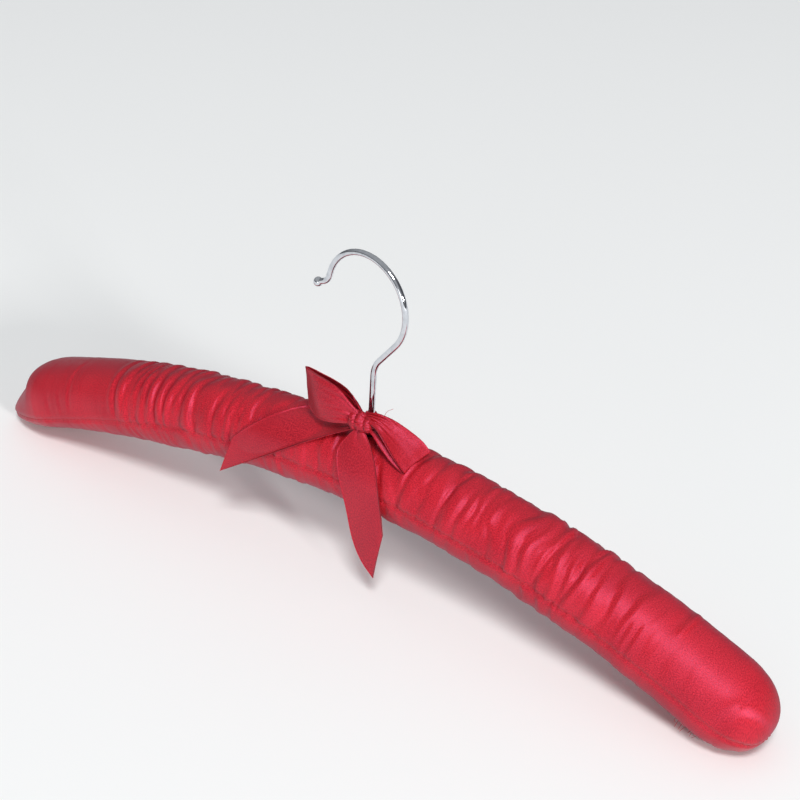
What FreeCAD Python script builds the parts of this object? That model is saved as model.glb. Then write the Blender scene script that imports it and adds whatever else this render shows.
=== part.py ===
import FreeCAD, Part
import math
import os
import Sketcher

# Padded clothes hanger. A curved wooden core is wrapped in two halves of padding and two gathered satin
# sleeves, and carries a wire hook that swivels in a bush. A ribbon bow is tied at the foot of the hook.
#
# Frame: the origin lies on the swivel axis, at the inside of the hook's loop, where a rail bears on it
# with the arms level. +Z is up along the swivel axis, +X runs along the arms and -Y faces the bow.
# Pieces of the arms are drawn about the crown, the middle of the arms' centreline, and then lowered.

V = FreeCAD.Vector
THREAD_GAP = 0.02  # the sewn lines lie this far off the sleeve's smooth surface

SIZES = [
    # arms: the centreline is one circular arc through the crown and both ends
    ("arm_span", 400.0, "centreline's width from end to end"),
    ("arm_drop", 44.45, "fall of the centreline from crown to end"),
    ("crown_height", 34.1, "height of the padded section at the crown"),
    ("crown_thickness", 32.0, "thickness of the padded section at the crown"),
    ("end_height", 36.8, "height of the padded section near an end"),
    ("end_thickness", 39.0, "thickness of the padded section near an end"),
    ("end_length", 27.4, "length of the rounded end"),
    ("section_power", 2.3, "superellipse power of the section"),
    ("end_power", 2.4, "superellipse power of the rounded end"),
    # wooden core
    ("core_height", 20.0, "height of the wooden bar"),
    ("core_thickness", 14.0, "thickness of the wooden bar"),
    ("core_setback", 12.0, "wooden bar's end short of the padded end"),
    ("core_fillet", 2.0, "rounding of the bar's long edges"),
    ("recess_radius", 4.4, "recess under the bar for washer and head"),
    ("recess_depth", 4.6, "depth of that recess"),
    # hook
    ("wire_diameter", 2.8, "hook wire"),
    ("loop_radius", 22.2, "hook loop, wire centreline"),
    ("loop_offset", 6.1, "loop centre from the swivel axis, towards the ball"),
    ("loop_rise", 79.5, "loop centre above the crown centreline"),
    ("neck_slope", 52.0, "slope of the straight run from shank to loop, degrees"),
    ("neck_radius", 13.0, "bend from shank to straight run"),
    ("mouth_angle", 169.0, "where the loop ends, degrees round its centre"),
    ("flick_radius", 6.0, "outward bend before the ball"),
    ("flick_slope", 27.0, "downward slope of the wire at the ball, degrees"),
    ("tip_length", 3.8, "straight wire from the outward bend to the ball's centre"),
    ("ball_diameter", 4.3, "ball that ends the wire"),
    ("head_diameter", 5.2, "upset head that carries the core"),
    ("head_thickness", 1.7, "thickness of that head"),
    ("hook_turn", -8.0, "hook turned about its shank at rest, degrees"),
    # bush and washer
    ("bush_wall", 0.9, "wall of the bush"),
    ("washer_diameter", 8.0, "washer outside"),
    ("washer_thickness", 1.2, "washer thickness"),
    # padding, sleeves and sewing
    ("sleeve_wall", 1.0, "gathered satin sleeve"),
    ("thread_width", 0.6, "sewn line"),
    ("thread_height", 0.4, "sewn line, proud of the sleeve"),
    ("seam_drop", 1.0, "front seam below the centreline"),
    ("hook_hole_radius", 2.2, "hole through padding and sleeves for the shank"),
    # ribbon
    ("ribbon_width", 20.0, "ribbon"),
    ("ribbon_pile", 1.2, "thickness allowed for one ribbon with its folds"),
    ("tie_height", 12.0, "gathered turn of ribbon round the shank"),
    ("tie_wall", 2.0, "thickness of that turn"),
    ("knot_width", 14.0, "knot, along the arms"),
    ("knot_depth", 6.4, "knot, front to back"),
    ("knot_height", 9.0, "knot, bottom to top"),
    ("knot_rise", 10.0, "knot's centre above the sleeve at the crown"),
    ("loop_gather", 6.0, "height of a bow loop where it leaves the knot"),
    ("left_loop_length", 24.0, "left bow loop, from the knot out"),
    ("left_loop_depth", 8.0, "left bow loop, front to back"),
    ("left_loop_lift", 8.0, "upward slope of the left bow loop, degrees"),
    ("right_loop_length", 22.0, "right bow loop, from the knot out"),
    ("right_loop_depth", 6.0, "right bow loop, through its thickness"),
    ("right_loop_droop", 17.0, "downward slope of the right bow loop, degrees"),
    ("right_loop_roll", 66.0, "right bow loop laid over towards the arm, degrees"),
    ("left_tail_reach", 58.3, "upper corner of the left tail from the swivel axis"),
    ("left_tail_fall", 11.7, "that corner below the crown's top"),
    ("left_tail_point", 11.5, "how far its lower corner runs beyond the upper one"),
    ("left_tail_drop", 37.0, "its lower corner below the crown's top"),
    ("tail_gather", 7.0, "width of the centre tail where it leaves the knot"),
    ("centre_tail_shift", 3.5, "centre tail's middle beside the swivel axis at the crown's top"),
    ("centre_tail_length", 60.4, "centre tail from the crown's top to its point"),
    ("centre_tail_point", 23.0, "how far its point runs beyond its right corner"),
    ("centre_tail_curl", 15.0, "how far its point runs beyond its left corner"),
    ("centre_tail_lean", 15.0, "sideways lean of the centre tail, degrees"),
    # clearances
    ("running_clearance", 0.05, "shank in bush, radial"),
    ("soft_clearance", 0.3, "between soft pieces and what they lie on"),
    ("fit_clearance", 0.1, "between hard pieces that may turn or slide in"),
]

doc = FreeCAD.newDocument("padded_hanger")
sheet = doc.addObject("Spreadsheet::Sheet", "Sizes")
for row, (alias, number, note) in enumerate(SIZES, start=1):
    sheet.set(f"A{row}", note)
    sheet.set(f"B{row}", str(number))
    sheet.setAlias(f"B{row}", alias)
doc.recompute()


def size(alias):
    """The sheet's number for one alias."""
    return float(getattr(sheet, alias))


# Sizes that follow from the sheet, once as expressions and once as numbers.
ARM_RADIUS = "((Sizes.arm_span / 2)^2 + Sizes.arm_drop^2) / (2 * Sizes.arm_drop)"
SEAT_RISE = "sqrt((Sizes.loop_radius - Sizes.wire_diameter / 2)^2 - Sizes.loop_offset^2)"
CROWN_DEPTH = f"(Sizes.loop_rise + {SEAT_RISE})"
BUSH_BORE = "(Sizes.wire_diameter / 2 + Sizes.running_clearance)"
WASHER_TOP = "(Sizes.recess_depth - Sizes.core_height / 2)"
HEAD_TOP = f"({WASHER_TOP} - Sizes.washer_thickness - Sizes.fit_clearance)"
HEAD_BASE = f"({HEAD_TOP} - Sizes.head_thickness)"
TIE_BASE = "(Sizes.crown_height / 2 + Sizes.thread_height + Sizes.soft_clearance)"
TIE_OUTSIDE = "(Sizes.wire_diameter / 2 + Sizes.soft_clearance + Sizes.tie_wall)"
KNOT_Y = f"-({TIE_OUTSIDE} + Sizes.soft_clearance + Sizes.knot_depth / 2)"
KNOT_Z = "(Sizes.crown_height / 2 + Sizes.knot_rise)"

arm_radius = ((size("arm_span") / 2) ** 2 + size("arm_drop") ** 2) / (2 * size("arm_drop"))
half_angle = math.asin(size("arm_span") / 2 / arm_radius)
seat_rise = math.sqrt((size("loop_radius") - size("wire_diameter") / 2) ** 2 - size("loop_offset") ** 2)
crown_depth = size("loop_rise") + seat_rise


def plane(body, role):
    """One origin plane of a body, by its role."""
    return next(item for item in body.Origin.OriginFeatures if item.Role == role)


def new_body(label, at_crown=True):
    """An empty body, lowered to the crown unless it belongs to the hook."""
    body = doc.addObject("PartDesign::Body", label)
    body.Label = label
    if at_crown:
        body.setExpression("Placement.Base.z", f"-{CROWN_DEPTH}")
    return body


def new_sketch(body, name, role="XZ_Plane", lift=None):
    """A sketch on one of the body's origin planes, lifted off it by an expression if one is given."""
    sketch = body.newObject("Sketcher::SketchObject", name)
    sketch.AttachmentSupport = [(plane(body, role), "")]
    sketch.MapMode = "FlatFace"
    if lift:
        sketch.setExpression("AttachmentOffset.Base.z", lift)
    return sketch


def bind(sketch, name, constraint, expression):
    """Adds a named dimension to a sketch and binds it to an expression."""
    index = sketch.addConstraint(constraint)
    sketch.renameConstraint(index, name)
    sketch.setExpression(f"Constraints.{name}", expression)


def add_circle(sketch, name, radius, expression):
    """A circle about the sketch's origin with a bound radius."""
    index = sketch.addGeometry(Part.Circle(V(0, 0, 0), V(0, 0, 1), radius))
    sketch.addConstraint(Sketcher.Constraint("Coincident", index, 3, -1, 1))
    bind(sketch, name, Sketcher.Constraint("Radius", index, radius), expression)


def add_loop(sketch, points):
    """A closed outline of straight lines through the points; returns the lines' indices."""
    lines = []
    for start, end in zip(points, points[1:] + points[:1]):
        lines.append(sketch.addGeometry(Part.LineSegment(V(*start, 0), V(*end, 0))))
    for line, following in zip(lines, lines[1:] + lines[:1]):
        sketch.addConstraint(Sketcher.Constraint("Coincident", line, 2, following, 1))
    return lines


def add_rectangle(sketch, low, high, expressions):
    """An upright rectangle; expressions bind its left, bottom, right and top."""
    points = [(low[0], low[1]), (high[0], low[1]), (high[0], high[1]), (low[0], high[1])]
    lines = add_loop(sketch, points)
    for index, kind in zip(lines, ("Horizontal", "Vertical", "Horizontal", "Vertical")):
        sketch.addConstraint(Sketcher.Constraint(kind, index))
    left, bottom, right, top = expressions
    for name, kind, line, value, expression in (
        ("left", "DistanceX", lines[0], low[0], left),
        ("bottom", "DistanceY", lines[0], low[1], bottom),
        ("right", "DistanceX", lines[2], high[0], right),
        ("top", "DistanceY", lines[2], high[1], top),
    ):
        bind(sketch, name, Sketcher.Constraint(kind, -1, 1, line, 1, value), expression)


def revolve(body, sketch, kind="PartDesign::Revolution"):
    """A full turn of a sketch about the body's Z axis, which is the sketch's vertical axis."""
    feature = body.newObject(kind, body.Label + "_turn")
    feature.Profile = sketch
    feature.ReferenceAxis = (sketch, ["V_Axis"])
    feature.Angle = 360
    body.Tip = feature
    return feature


# --- wooden core ---------------------------------------------------------------------------------


def make_core():
    """The curved bar: an arc slot padded to its thickness, with a stepped bore for bush and washer."""
    body = new_body("wood_core")
    outline = new_sketch(body, "core_outline")
    half = size("core_height") / 2
    reach = half_angle - (size("core_setback") + half) / arm_radius
    centre = V(0, -arm_radius, 0)
    right, left = math.pi / 2 - reach, math.pi / 2 + reach
    arcs = [
        Part.ArcOfCircle(Part.Circle(centre, V(0, 0, 1), arm_radius + half), right, left),
        Part.ArcOfCircle(Part.Circle(centre, V(0, 0, 1), arm_radius - half), right, left),
    ]
    for angle, start in ((left, left), (right, right + math.pi)):
        middle = centre + V(arm_radius * math.cos(angle), arm_radius * math.sin(angle), 0)
        arcs.append(Part.ArcOfCircle(Part.Circle(middle, V(0, 0, 1), half), start, start + math.pi))
    outer, inner, left_end, right_end = [outline.addGeometry(arc) for arc in arcs]
    for first, at_first, second, at_second in (
        (outer, 2, left_end, 1),
        (left_end, 2, inner, 2),
        (inner, 1, right_end, 1),
        (right_end, 2, outer, 1),
    ):
        outline.addConstraint(Sketcher.Constraint("Tangent", first, at_first, second, at_second))
    outline.addConstraint(Sketcher.Constraint("Coincident", outer, 3, inner, 3))
    outline.addConstraint(Sketcher.Constraint("Symmetric", left_end, 3, right_end, 3, -2))
    bind(outline, "drop", Sketcher.Constraint("DistanceY", outer, 3, -1, 1, arm_radius), ARM_RADIUS)
    bind(
        outline,
        "outer_radius",
        Sketcher.Constraint("Radius", outer, arm_radius + half),
        f"{ARM_RADIUS} + Sizes.core_height / 2",
    )
    bind(outline, "end_radius", Sketcher.Constraint("Radius", left_end, half), "Sizes.core_height / 2")
    reach_x = arm_radius * math.sin(reach)
    bind(
        outline,
        "end_x",
        Sketcher.Constraint("DistanceX", -1, 1, right_end, 3, reach_x),
        f"{ARM_RADIUS} * sin(asin(Sizes.arm_span / 2 / ({ARM_RADIUS}))"
        f" - (Sizes.core_setback + Sizes.core_height / 2) / ({ARM_RADIUS}) * 1 rad)",
    )
    bar = body.newObject("PartDesign::Pad", "core_bar")
    bar.Profile = outline
    bar.Midplane = True
    bar.setExpression("Length", "Sizes.core_thickness")
    doc.recompute()
    rounding = body.newObject("PartDesign::Fillet", "core_rounding")
    flat = size("core_thickness") / 2
    faces = [
        f"Face{number}"
        for number, face in enumerate(bar.Shape.Faces, start=1)
        if abs(abs(face.CenterOfMass.y) - flat) < 1e-6
    ]
    rounding.Base = (bar, faces)
    rounding.setExpression("Radius", "Sizes.core_fillet")
    doc.recompute()
    bore = new_sketch(body, "core_bore")
    bush_radius = f"({BUSH_BORE} + Sizes.bush_wall)"
    add_rectangle(bore, (0, -5), (2.35, 15), ("0", WASHER_TOP, bush_radius, "Sizes.core_height"))
    cut = revolve(body, bore, "PartDesign::Groove")
    cut.Label = "core_bore_cut"
    recess = new_sketch(body, "core_recess")
    add_rectangle(recess, (0, -15), (5, -5), ("0", "-Sizes.core_height", "Sizes.recess_radius", WASHER_TOP))
    cut = revolve(body, recess, "PartDesign::Groove")
    cut.Label = "core_recess_cut"
    doc.recompute()
    assert body.Shape.Volume < rounding.Shape.Volume - 1, "the core's bore cut nothing"
    return body


# --- hook, bush and washer -------------------------------------------------------------------------


def make_hook():
    """The wire hook, drawn in the XZ plane with the row origin at the rail seat, then turned."""
    body = new_body("hook_wire", at_crown=False)
    body.setExpression("Placement.Rotation", "create(<<rotation>>; create(<<vector>>; 0; 0; 1); Sizes.hook_turn)")
    path = new_sketch(body, "hook_path")
    wire = size("wire_diameter")
    loop, neck, flick = size("loop_radius"), size("neck_radius"), size("flick_radius")
    slope = math.radians(size("neck_slope"))
    mouth = math.radians(size("mouth_angle"))
    centre = V(-size("loop_offset"), -seat_rise, 0)
    leave = slope - math.pi / 2
    on_loop = centre + V(math.cos(leave), math.sin(leave), 0) * loop
    along = V(math.cos(slope), math.sin(slope), 0)
    # The neck's centre lies one bend radius right of the shank and below the straight run.
    neck_x = neck
    run_side = V(math.sin(slope), -math.cos(slope), 0)
    run_length = (on_loop.x + run_side.x * neck - neck_x) / along.x
    neck_centre = on_loop - along * run_length + run_side * neck
    head_base = -crown_depth - size("core_height") / 2 + size("recess_depth")
    head_base -= size("washer_thickness") + size("fit_clearance") + size("head_thickness")
    loop_end = centre + V(math.cos(mouth), math.sin(mouth), 0) * loop
    flick_centre = centre + V(math.cos(mouth), math.sin(mouth), 0) * (loop + flick)
    down = math.radians(size("flick_slope"))
    tip_direction = V(-math.cos(down), -math.sin(down), 0)
    flick_end = flick_centre + V(math.sin(down), -math.cos(down), 0) * flick
    ball = flick_end + tip_direction * size("tip_length")
    up = V(0, 0, 1)
    start_angle = math.atan2(flick_end.y - flick_centre.y, flick_end.x - flick_centre.x)
    end_angle = math.atan2(loop_end.y - flick_centre.y, loop_end.x - flick_centre.x)
    shank = path.addGeometry(Part.LineSegment(V(0, head_base, 0), V(0, neck_centre.y, 0)))
    bend = path.addGeometry(
        Part.ArcOfCircle(Part.Circle(neck_centre, up, neck), math.pi / 2 + slope, math.pi)
    )
    run_start = neck_centre - run_side * neck
    run = path.addGeometry(Part.LineSegment(run_start, on_loop))
    ring = path.addGeometry(Part.ArcOfCircle(Part.Circle(centre, up, loop), leave, mouth))
    turn = path.addGeometry(
        Part.ArcOfCircle(Part.Circle(flick_centre, up, flick), start_angle, end_angle)
    )
    tip = path.addGeometry(Part.LineSegment(flick_end, ball))
    for first, at_first, second, at_second in (
        (shank, 2, bend, 2),
        (bend, 1, run, 1),
        (run, 2, ring, 1),
        (ring, 2, turn, 2),
        (turn, 1, tip, 1),
    ):
        path.addConstraint(Sketcher.Constraint("Tangent", first, at_first, second, at_second))
    path.addConstraint(Sketcher.Constraint("PointOnObject", shank, 1, -2))
    path.addConstraint(Sketcher.Constraint("PointOnObject", shank, 2, -2))
    bind(
        path,
        "shank_foot",
        Sketcher.Constraint("DistanceY", shank, 1, -1, 1, -head_base),
        f"{CROWN_DEPTH} - {HEAD_BASE}",
    )
    bind(path, "offset", Sketcher.Constraint("DistanceX", ring, 3, -1, 1, -centre.x), "Sizes.loop_offset")
    bind(path, "rise", Sketcher.Constraint("DistanceY", ring, 3, -1, 1, seat_rise), SEAT_RISE)
    bind(path, "loop", Sketcher.Constraint("Radius", ring, loop), "Sizes.loop_radius")
    bind(path, "neck", Sketcher.Constraint("Radius", bend, neck), "Sizes.neck_radius")
    bind(path, "flick", Sketcher.Constraint("Radius", turn, flick), "Sizes.flick_radius")
    bind(path, "slope", Sketcher.Constraint("Angle", -1, 1, run, 1, slope), "Sizes.neck_slope")
    bind(
        path,
        "mouth_x",
        Sketcher.Constraint("DistanceX", ring, 2, ring, 3, centre.x - loop_end.x),
        "-Sizes.loop_radius * cos(Sizes.mouth_angle * 1 deg)",
    )
    bind(
        path,
        "tip_x",
        Sketcher.Constraint("DistanceX", tip, 2, tip, 1, flick_end.x - ball.x),
        "Sizes.tip_length * cos(Sizes.flick_slope * 1 deg)",
    )
    bind(path, "tip_length", Sketcher.Constraint("Distance", tip, size("tip_length")), "Sizes.tip_length")
    foot = new_sketch(body, "wire_section", "XY_Plane", f"-{CROWN_DEPTH} + {HEAD_BASE}")
    add_circle(foot, "wire", wire / 2, "Sizes.wire_diameter / 2")
    doc.recompute()
    rod = body.newObject("PartDesign::AdditivePipe", "hook_rod")
    rod.Profile = foot
    rod.Spine = path
    body.Tip = rod
    doc.recompute()
    head_sketch = new_sketch(body, "head_section", "XY_Plane", f"-{CROWN_DEPTH} + {HEAD_BASE}")
    add_circle(head_sketch, "head", size("head_diameter") / 2, "Sizes.head_diameter / 2")
    head = body.newObject("PartDesign::Pad", "hook_head")
    head.Profile = head_sketch
    head.setExpression("Length", "Sizes.head_thickness")
    body.Tip = head
    doc.recompute()
    end = body.newObject("PartDesign::AdditiveSphere", "hook_ball")
    end.setExpression("Radius", "Sizes.ball_diameter / 2")
    # The ball's poles lie along the wire, so that the wire meets it in one plain circle.
    end.AttachmentSupport = [(path, "Edge6"), (path, "Vertex7")]
    end.MapMode = "NormalToEdge"
    body.Tip = end
    doc.recompute()
    return body


def make_bush():
    """The tube in the core in which the shank turns, from the recess up to the core's top."""
    body = new_body("core_bush")
    section = new_sketch(body, "bush_section")
    add_rectangle(
        section,
        (1.45, -5),
        (2.35, 10),
        (BUSH_BORE, WASHER_TOP, f"({BUSH_BORE} + Sizes.bush_wall)", "Sizes.core_height / 2"),
    )
    revolve(body, section)
    return body


def make_washer():
    """The washer between the hook's head and the core."""
    body = new_body("hook_washer")
    section = new_sketch(body, "washer_section")
    add_rectangle(
        section,
        (1.5, -7),
        (4.8, -5),
        (
            "Sizes.wire_diameter / 2 + Sizes.fit_clearance",
            f"{WASHER_TOP} - Sizes.washer_thickness",
            "Sizes.washer_diameter / 2",
            WASHER_TOP,
        ),
    )
    revolve(body, section)
    return body


# --- padding and sleeves: lofts through superellipse sections ---------------------------------------


def arm_section(turn, half_height, half_thickness):
    """A closed superellipse wire square to the centreline, turn radians round it from the crown."""
    out = V(math.sin(turn), 0, math.cos(turn))
    middle = out * arm_radius - V(0, 0, arm_radius)
    power = size("section_power")
    points = []
    for step in range(20):
        angle = 2 * math.pi * step / 20
        c, s = math.cos(angle), math.sin(angle)
        radius = (abs(c) ** power + abs(s) ** power) ** (-1 / power)
        points.append(middle + out * (half_height * radius * s) + V(0, half_thickness * radius * c, 0))
    curve = Part.BSplineCurve()
    curve.interpolate(points, PeriodicFlag=True)
    return Part.Wire(curve.toShape())


def arm_envelope(side, grow):
    """One arm's padded shape as a solid, from the crown to its rounded end, grown all round."""
    length = arm_radius * half_angle + grow
    cap = size("end_length") + grow
    straight, rounded, last_turn = 10, 6, math.radians(84)
    rounding = 2 / size("end_power")
    stations = [((length - cap) * step / straight, 1) for step in range(straight)]
    for step in range(rounded + 1):
        angle = last_turn * step / rounded
        stations.append((length - cap + cap * math.sin(angle) ** rounding, math.cos(angle) ** rounding))
    sections = []
    for station, scale in stations:
        share = min(station / (arm_radius * half_angle), 1)
        height = size("crown_height") + (size("end_height") - size("crown_height")) * share
        thickness = size("crown_thickness") + (size("end_thickness") - size("crown_thickness")) * share
        turn = side * station / arm_radius
        sections.append(arm_section(turn, (height / 2 + grow) * scale, (thickness / 2 + grow) * scale))
    return Part.makeLoft(sections, True, False)


def core_room(grow):
    """The space the wooden bar takes, grown all round, as a solid."""
    half = size("core_height") / 2 + grow
    reach = half_angle - (size("core_setback") + size("core_height") / 2) / arm_radius
    centre = V(0, 0, -arm_radius)

    def at(radius, turn):
        return centre + V(math.sin(turn), 0, math.cos(turn)) * radius

    over = Part.Arc(at(arm_radius + half, -reach), at(arm_radius + half, 0), at(arm_radius + half, reach))
    under = Part.Arc(at(arm_radius - half, reach), at(arm_radius - half, 0), at(arm_radius - half, -reach))
    past = reach + half / arm_radius
    right = Part.Arc(at(arm_radius + half, reach), at(arm_radius, past), at(arm_radius - half, reach))
    left = Part.Arc(at(arm_radius - half, -reach), at(arm_radius, -past), at(arm_radius + half, -reach))
    outline = Part.Wire([edge.toShape() for edge in (over, right, under, left)])
    depth = size("core_thickness") / 2 + grow
    face = Part.Face(outline)
    face.translate(V(0, -depth, 0))
    return face.extrude(V(0, 2 * depth, 0))


def shank_hole():
    """The upright hole that padding, sleeves and stitches leave for the shank."""
    height = size("crown_height") / 2 + size("thread_height") + 1
    return Part.makeCylinder(size("hook_hole_radius"), height)


def at_crown(label, shape):
    """A sub-part with the given shape, lowered to the crown."""
    feature = doc.addObject("Part::Feature", label)
    feature.Label = label
    feature.Shape = shape
    feature.Placement = FreeCAD.Placement(V(0, 0, -crown_depth), FreeCAD.Rotation()) * shape.Placement
    return feature


def make_arm(side, name):
    """Padding, sleeve and front-to-back seam of one arm."""
    outside = arm_envelope(side, 0)
    inside = arm_envelope(side, -size("sleeve_wall"))
    padding = arm_envelope(side, -size("sleeve_wall") - size("soft_clearance"))
    hole = shank_hole()
    foam = padding.cut(core_room(size("soft_clearance"))).cut(hole)
    cover = outside.cut(inside).cut(hole)
    # The seam lies on the sleeve all round, at one radius of the arms' arc.
    line = arm_radius - size("seam_drop")
    width = size("thread_width") / 2
    reach = size("end_thickness")
    base = V(0, -reach, -arm_radius)
    band = Part.makeCylinder(line + width, 2 * reach, base, V(0, 1, 0))
    band = band.cut(Part.makeCylinder(line - width, 2 * reach, base, V(0, 1, 0)))
    proud = size("thread_height")
    skin = arm_envelope(side, proud + THREAD_GAP).cut(arm_envelope(side, THREAD_GAP))
    start = size("thread_width") * 2
    beyond = Part.makeBox(start, 2 * reach, 4 * reach, V(-start / 2, -reach, -2 * reach))
    seam = skin.common(band).cut(beyond)
    return [
        at_crown(f"foam_{name}", foam),
        at_crown(f"cover_{name}", cover),
        at_crown(f"seam_thread_{name}", seam),
    ]


def make_centre_join():
    """The stitches that close the two sleeves onto each other, a ring round the section at the crown."""
    proud, width = size("thread_height"), size("thread_width")
    height, thickness = size("crown_height") / 2, size("crown_thickness") / 2
    outline = Part.Face(arm_section(0, height + THREAD_GAP + proud, thickness + THREAD_GAP + proud))
    ring = outline.cut(Part.Face(arm_section(0, height + THREAD_GAP, thickness + THREAD_GAP)))
    ring.translate(V(-width / 2, 0, 0))
    return at_crown("centre_join_thread", ring.extrude(V(width, 0, 0)).cut(shank_hole()))


# --- bow -------------------------------------------------------------------------------------------


def place(feature, x, y, z):
    """Binds a primitive's place, given about the crown."""
    feature.setExpression("Placement.Base.x", x)
    feature.setExpression("Placement.Base.y", y)
    feature.setExpression("Placement.Base.z", f"{z} - {CROWN_DEPTH}")


def make_neck_tie():
    """The gathered turn of ribbon round the shank, just above the sleeves."""
    rings = []
    for name, radius in (
        ("tie_outside", TIE_OUTSIDE),
        ("tie_inside", "Sizes.wire_diameter / 2 + Sizes.soft_clearance"),
    ):
        ring = doc.addObject("Part::Cylinder", name)
        ring.setExpression("Radius", radius)
        ring.setExpression("Height", "Sizes.tie_height")
        place(ring, "0", "0", TIE_BASE)
        rings.append(ring)
    tie = doc.addObject("Part::Cut", "bow_neck_tie")
    tie.Label = "bow_neck_tie"
    tie.Base, tie.Tool = rings
    return tie


def make_knot():
    """The knot, an egg-shaped lump in front of the neck tie."""
    knot = doc.addObject("Part::Ellipsoid", "bow_knot")
    knot.Label = "bow_knot"
    knot.setExpression("Radius1", "Sizes.knot_height / 2")
    knot.setExpression("Radius2", "Sizes.knot_width / 2")
    knot.setExpression("Radius3", "Sizes.knot_depth / 2")
    place(knot, "0", KNOT_Y, KNOT_Z)
    return knot


def make_bow_loop(label, length, depth, rotation, side):
    """A bow loop as a wedge that widens from the knot to the ribbon's width."""
    loop = doc.addObject("Part::Wedge", label)
    loop.Label = label
    small = "Sizes.loop_gather / 2"
    wide = "Sizes.ribbon_width / 2"
    for edge, expression in (
        ("Xmin", f"-{depth} / 4"),
        ("Xmax", f"{depth} / 4"),
        ("Zmin", f"-{small}"),
        ("Zmax", small),
        ("Ymin", "0"),
        ("Ymax", length),
        ("X2min", f"-{depth} / 2"),
        ("X2max", f"{depth} / 2"),
        ("Z2min", f"-{wide}"),
        ("Z2max", wide),
    ):
        loop.setExpression(edge, expression)
    loop.Placement = FreeCAD.Placement(V(0, 0, 0), rotation)
    place(loop, f"{side} * (Sizes.knot_width / 2 + Sizes.soft_clearance)", KNOT_Y, KNOT_Z)
    return loop


def make_left_tail():
    """The left tail, which lies on the sleeve's top and front and falls outwards along the arm."""
    gap = size("soft_clearance") + size("thread_height") + THREAD_GAP
    pile = size("ribbon_pile")
    layer = arm_envelope(-1, gap + pile).cut(arm_envelope(-1, gap))
    top = size("crown_height") / 2
    over = top + gap + pile
    near = -(size("ribbon_width") / 2 - size("centre_tail_shift") + 2)
    far = -size("left_tail_reach")
    outline = [
        V(near, 0, over),
        V((near + far) / 2, 0, over),
        V(far, 0, top - size("left_tail_fall")),
        V(far - size("left_tail_point"), 0, top - size("left_tail_drop")),
        V(near, 0, top),
    ]
    prism = Part.Face(Part.makePolygon(outline + outline[:1])).extrude(V(0, -size("end_thickness"), 0))
    return at_crown("bow_tail_left", layer.common(prism))


def make_centre_tail():
    """The centre tail: from under the knot over the sleeve's shoulder and straight down in front of it."""
    gap = size("soft_clearance") + size("thread_height") + 0.2
    pile = size("ribbon_pile")
    front = -(size("crown_thickness") / 2 + gap)
    top = size("crown_height") / 2
    under_knot = top + size("knot_rise") - size("knot_height") / 2 - size("soft_clearance")
    length = size("centre_tail_length")
    half_width = size("ribbon_width") / 2
    gathered = size("tail_gather") / 2
    inner = Part.Arc(V(0, front * 0.4, under_knot), V(0, front * 0.82, top * 0.8), V(0, front, top * 0.2))
    outer = Part.Arc(
        V(0, front - pile, top * 0.2),
        V(0, front * 0.82 - pile * 0.7, top * 0.8 + pile * 0.7),
        V(0, front * 0.4 - pile, under_knot),
    )
    edges = [
        inner,
        Part.LineSegment(inner.EndPoint, V(0, front, top - length)),
        Part.LineSegment(V(0, front, top - length), V(0, front - pile, top - length)),
        Part.LineSegment(V(0, front - pile, top - length), outer.StartPoint),
        outer,
        Part.LineSegment(outer.EndPoint, inner.StartPoint),
    ]
    side = Part.Face(Part.Wire([edge.toShape() for edge in edges]))
    side.translate(V(-half_width, 0, 0))
    strip = side.extrude(V(2 * half_width, 0, 0))
    outline = [
        V(-gathered, 0, under_knot),
        V(-half_width, 0, top - gathered),
        V(-half_width, 0, top - length + size("centre_tail_curl")),
        V(0, 0, top - length),
        V(half_width, 0, top - length + size("centre_tail_point")),
        V(half_width, 0, top - gathered),
        V(gathered, 0, under_knot),
    ]
    prism = Part.Face(Part.makePolygon(outline + outline[:1])).extrude(V(0, 2 * front, 0))
    tail = strip.common(prism)
    tail.rotate(V(0, 0, top), V(0, 1, 0), -size("centre_tail_lean"))
    tail.translate(V(size("centre_tail_shift"), 0, 0))
    return at_crown("bow_tail_centre", tail)


# --- the whole object --------------------------------------------------------------------------------

parts = [make_core(), make_hook(), make_bush(), make_washer()]
for side, name in ((-1, "left"), (1, "right")):
    parts.extend(make_arm(side, name))
parts.append(make_centre_join())
parts.append(make_neck_tie())
parts.append(make_knot())
lift = size("left_loop_lift")
droop = size("right_loop_droop")
roll = size("right_loop_roll")
parts.append(
    make_bow_loop(
        "bow_loop_left",
        "Sizes.left_loop_length",
        "Sizes.left_loop_depth",
        FreeCAD.Rotation(V(0, 1, 0), lift) * FreeCAD.Rotation(V(0, 0, 1), 90),
        -1,
    )
)
parts.append(
    make_bow_loop(
        "bow_loop_right",
        "Sizes.right_loop_length",
        "Sizes.right_loop_depth",
        FreeCAD.Rotation(V(0, 1, 0), droop)
        * FreeCAD.Rotation(V(1, 0, 0), -roll)
        * FreeCAD.Rotation(V(0, 0, 1), -90),
        1,
    )
)
parts.append(make_left_tail())
parts.append(make_centre_tail())
doc.recompute()

for item in doc.Objects:
    bad = [state for state in item.State if state in ("Invalid", "Error")]
    assert not bad, f"{item.Label} did not compute: {item.State}"
os.makedirs("parts", exist_ok=True)
for part in parts:
    assert not part.Shape.isNull(), f"{part.Label} is empty"
    assert part.Shape.isValid(), f"{part.Label} is not valid"
    part.Shape.exportStep(f"parts/{part.Label}.step")
    low, high = part.Shape.BoundBox, part.Shape.BoundBox
    print(
        f"{part.Label:20s} solids {len(part.Shape.Solids)} volume {part.Shape.Volume:9.1f} "
        f"x {low.XMin:7.1f}..{high.XMax:7.1f} y {low.YMin:6.1f}..{high.YMax:6.1f} "
        f"z {low.ZMin:7.1f}..{high.ZMax:7.1f}"
    )
print(f"crown depth {crown_depth:.3f}, arm arc radius {arm_radius:.2f}")
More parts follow.
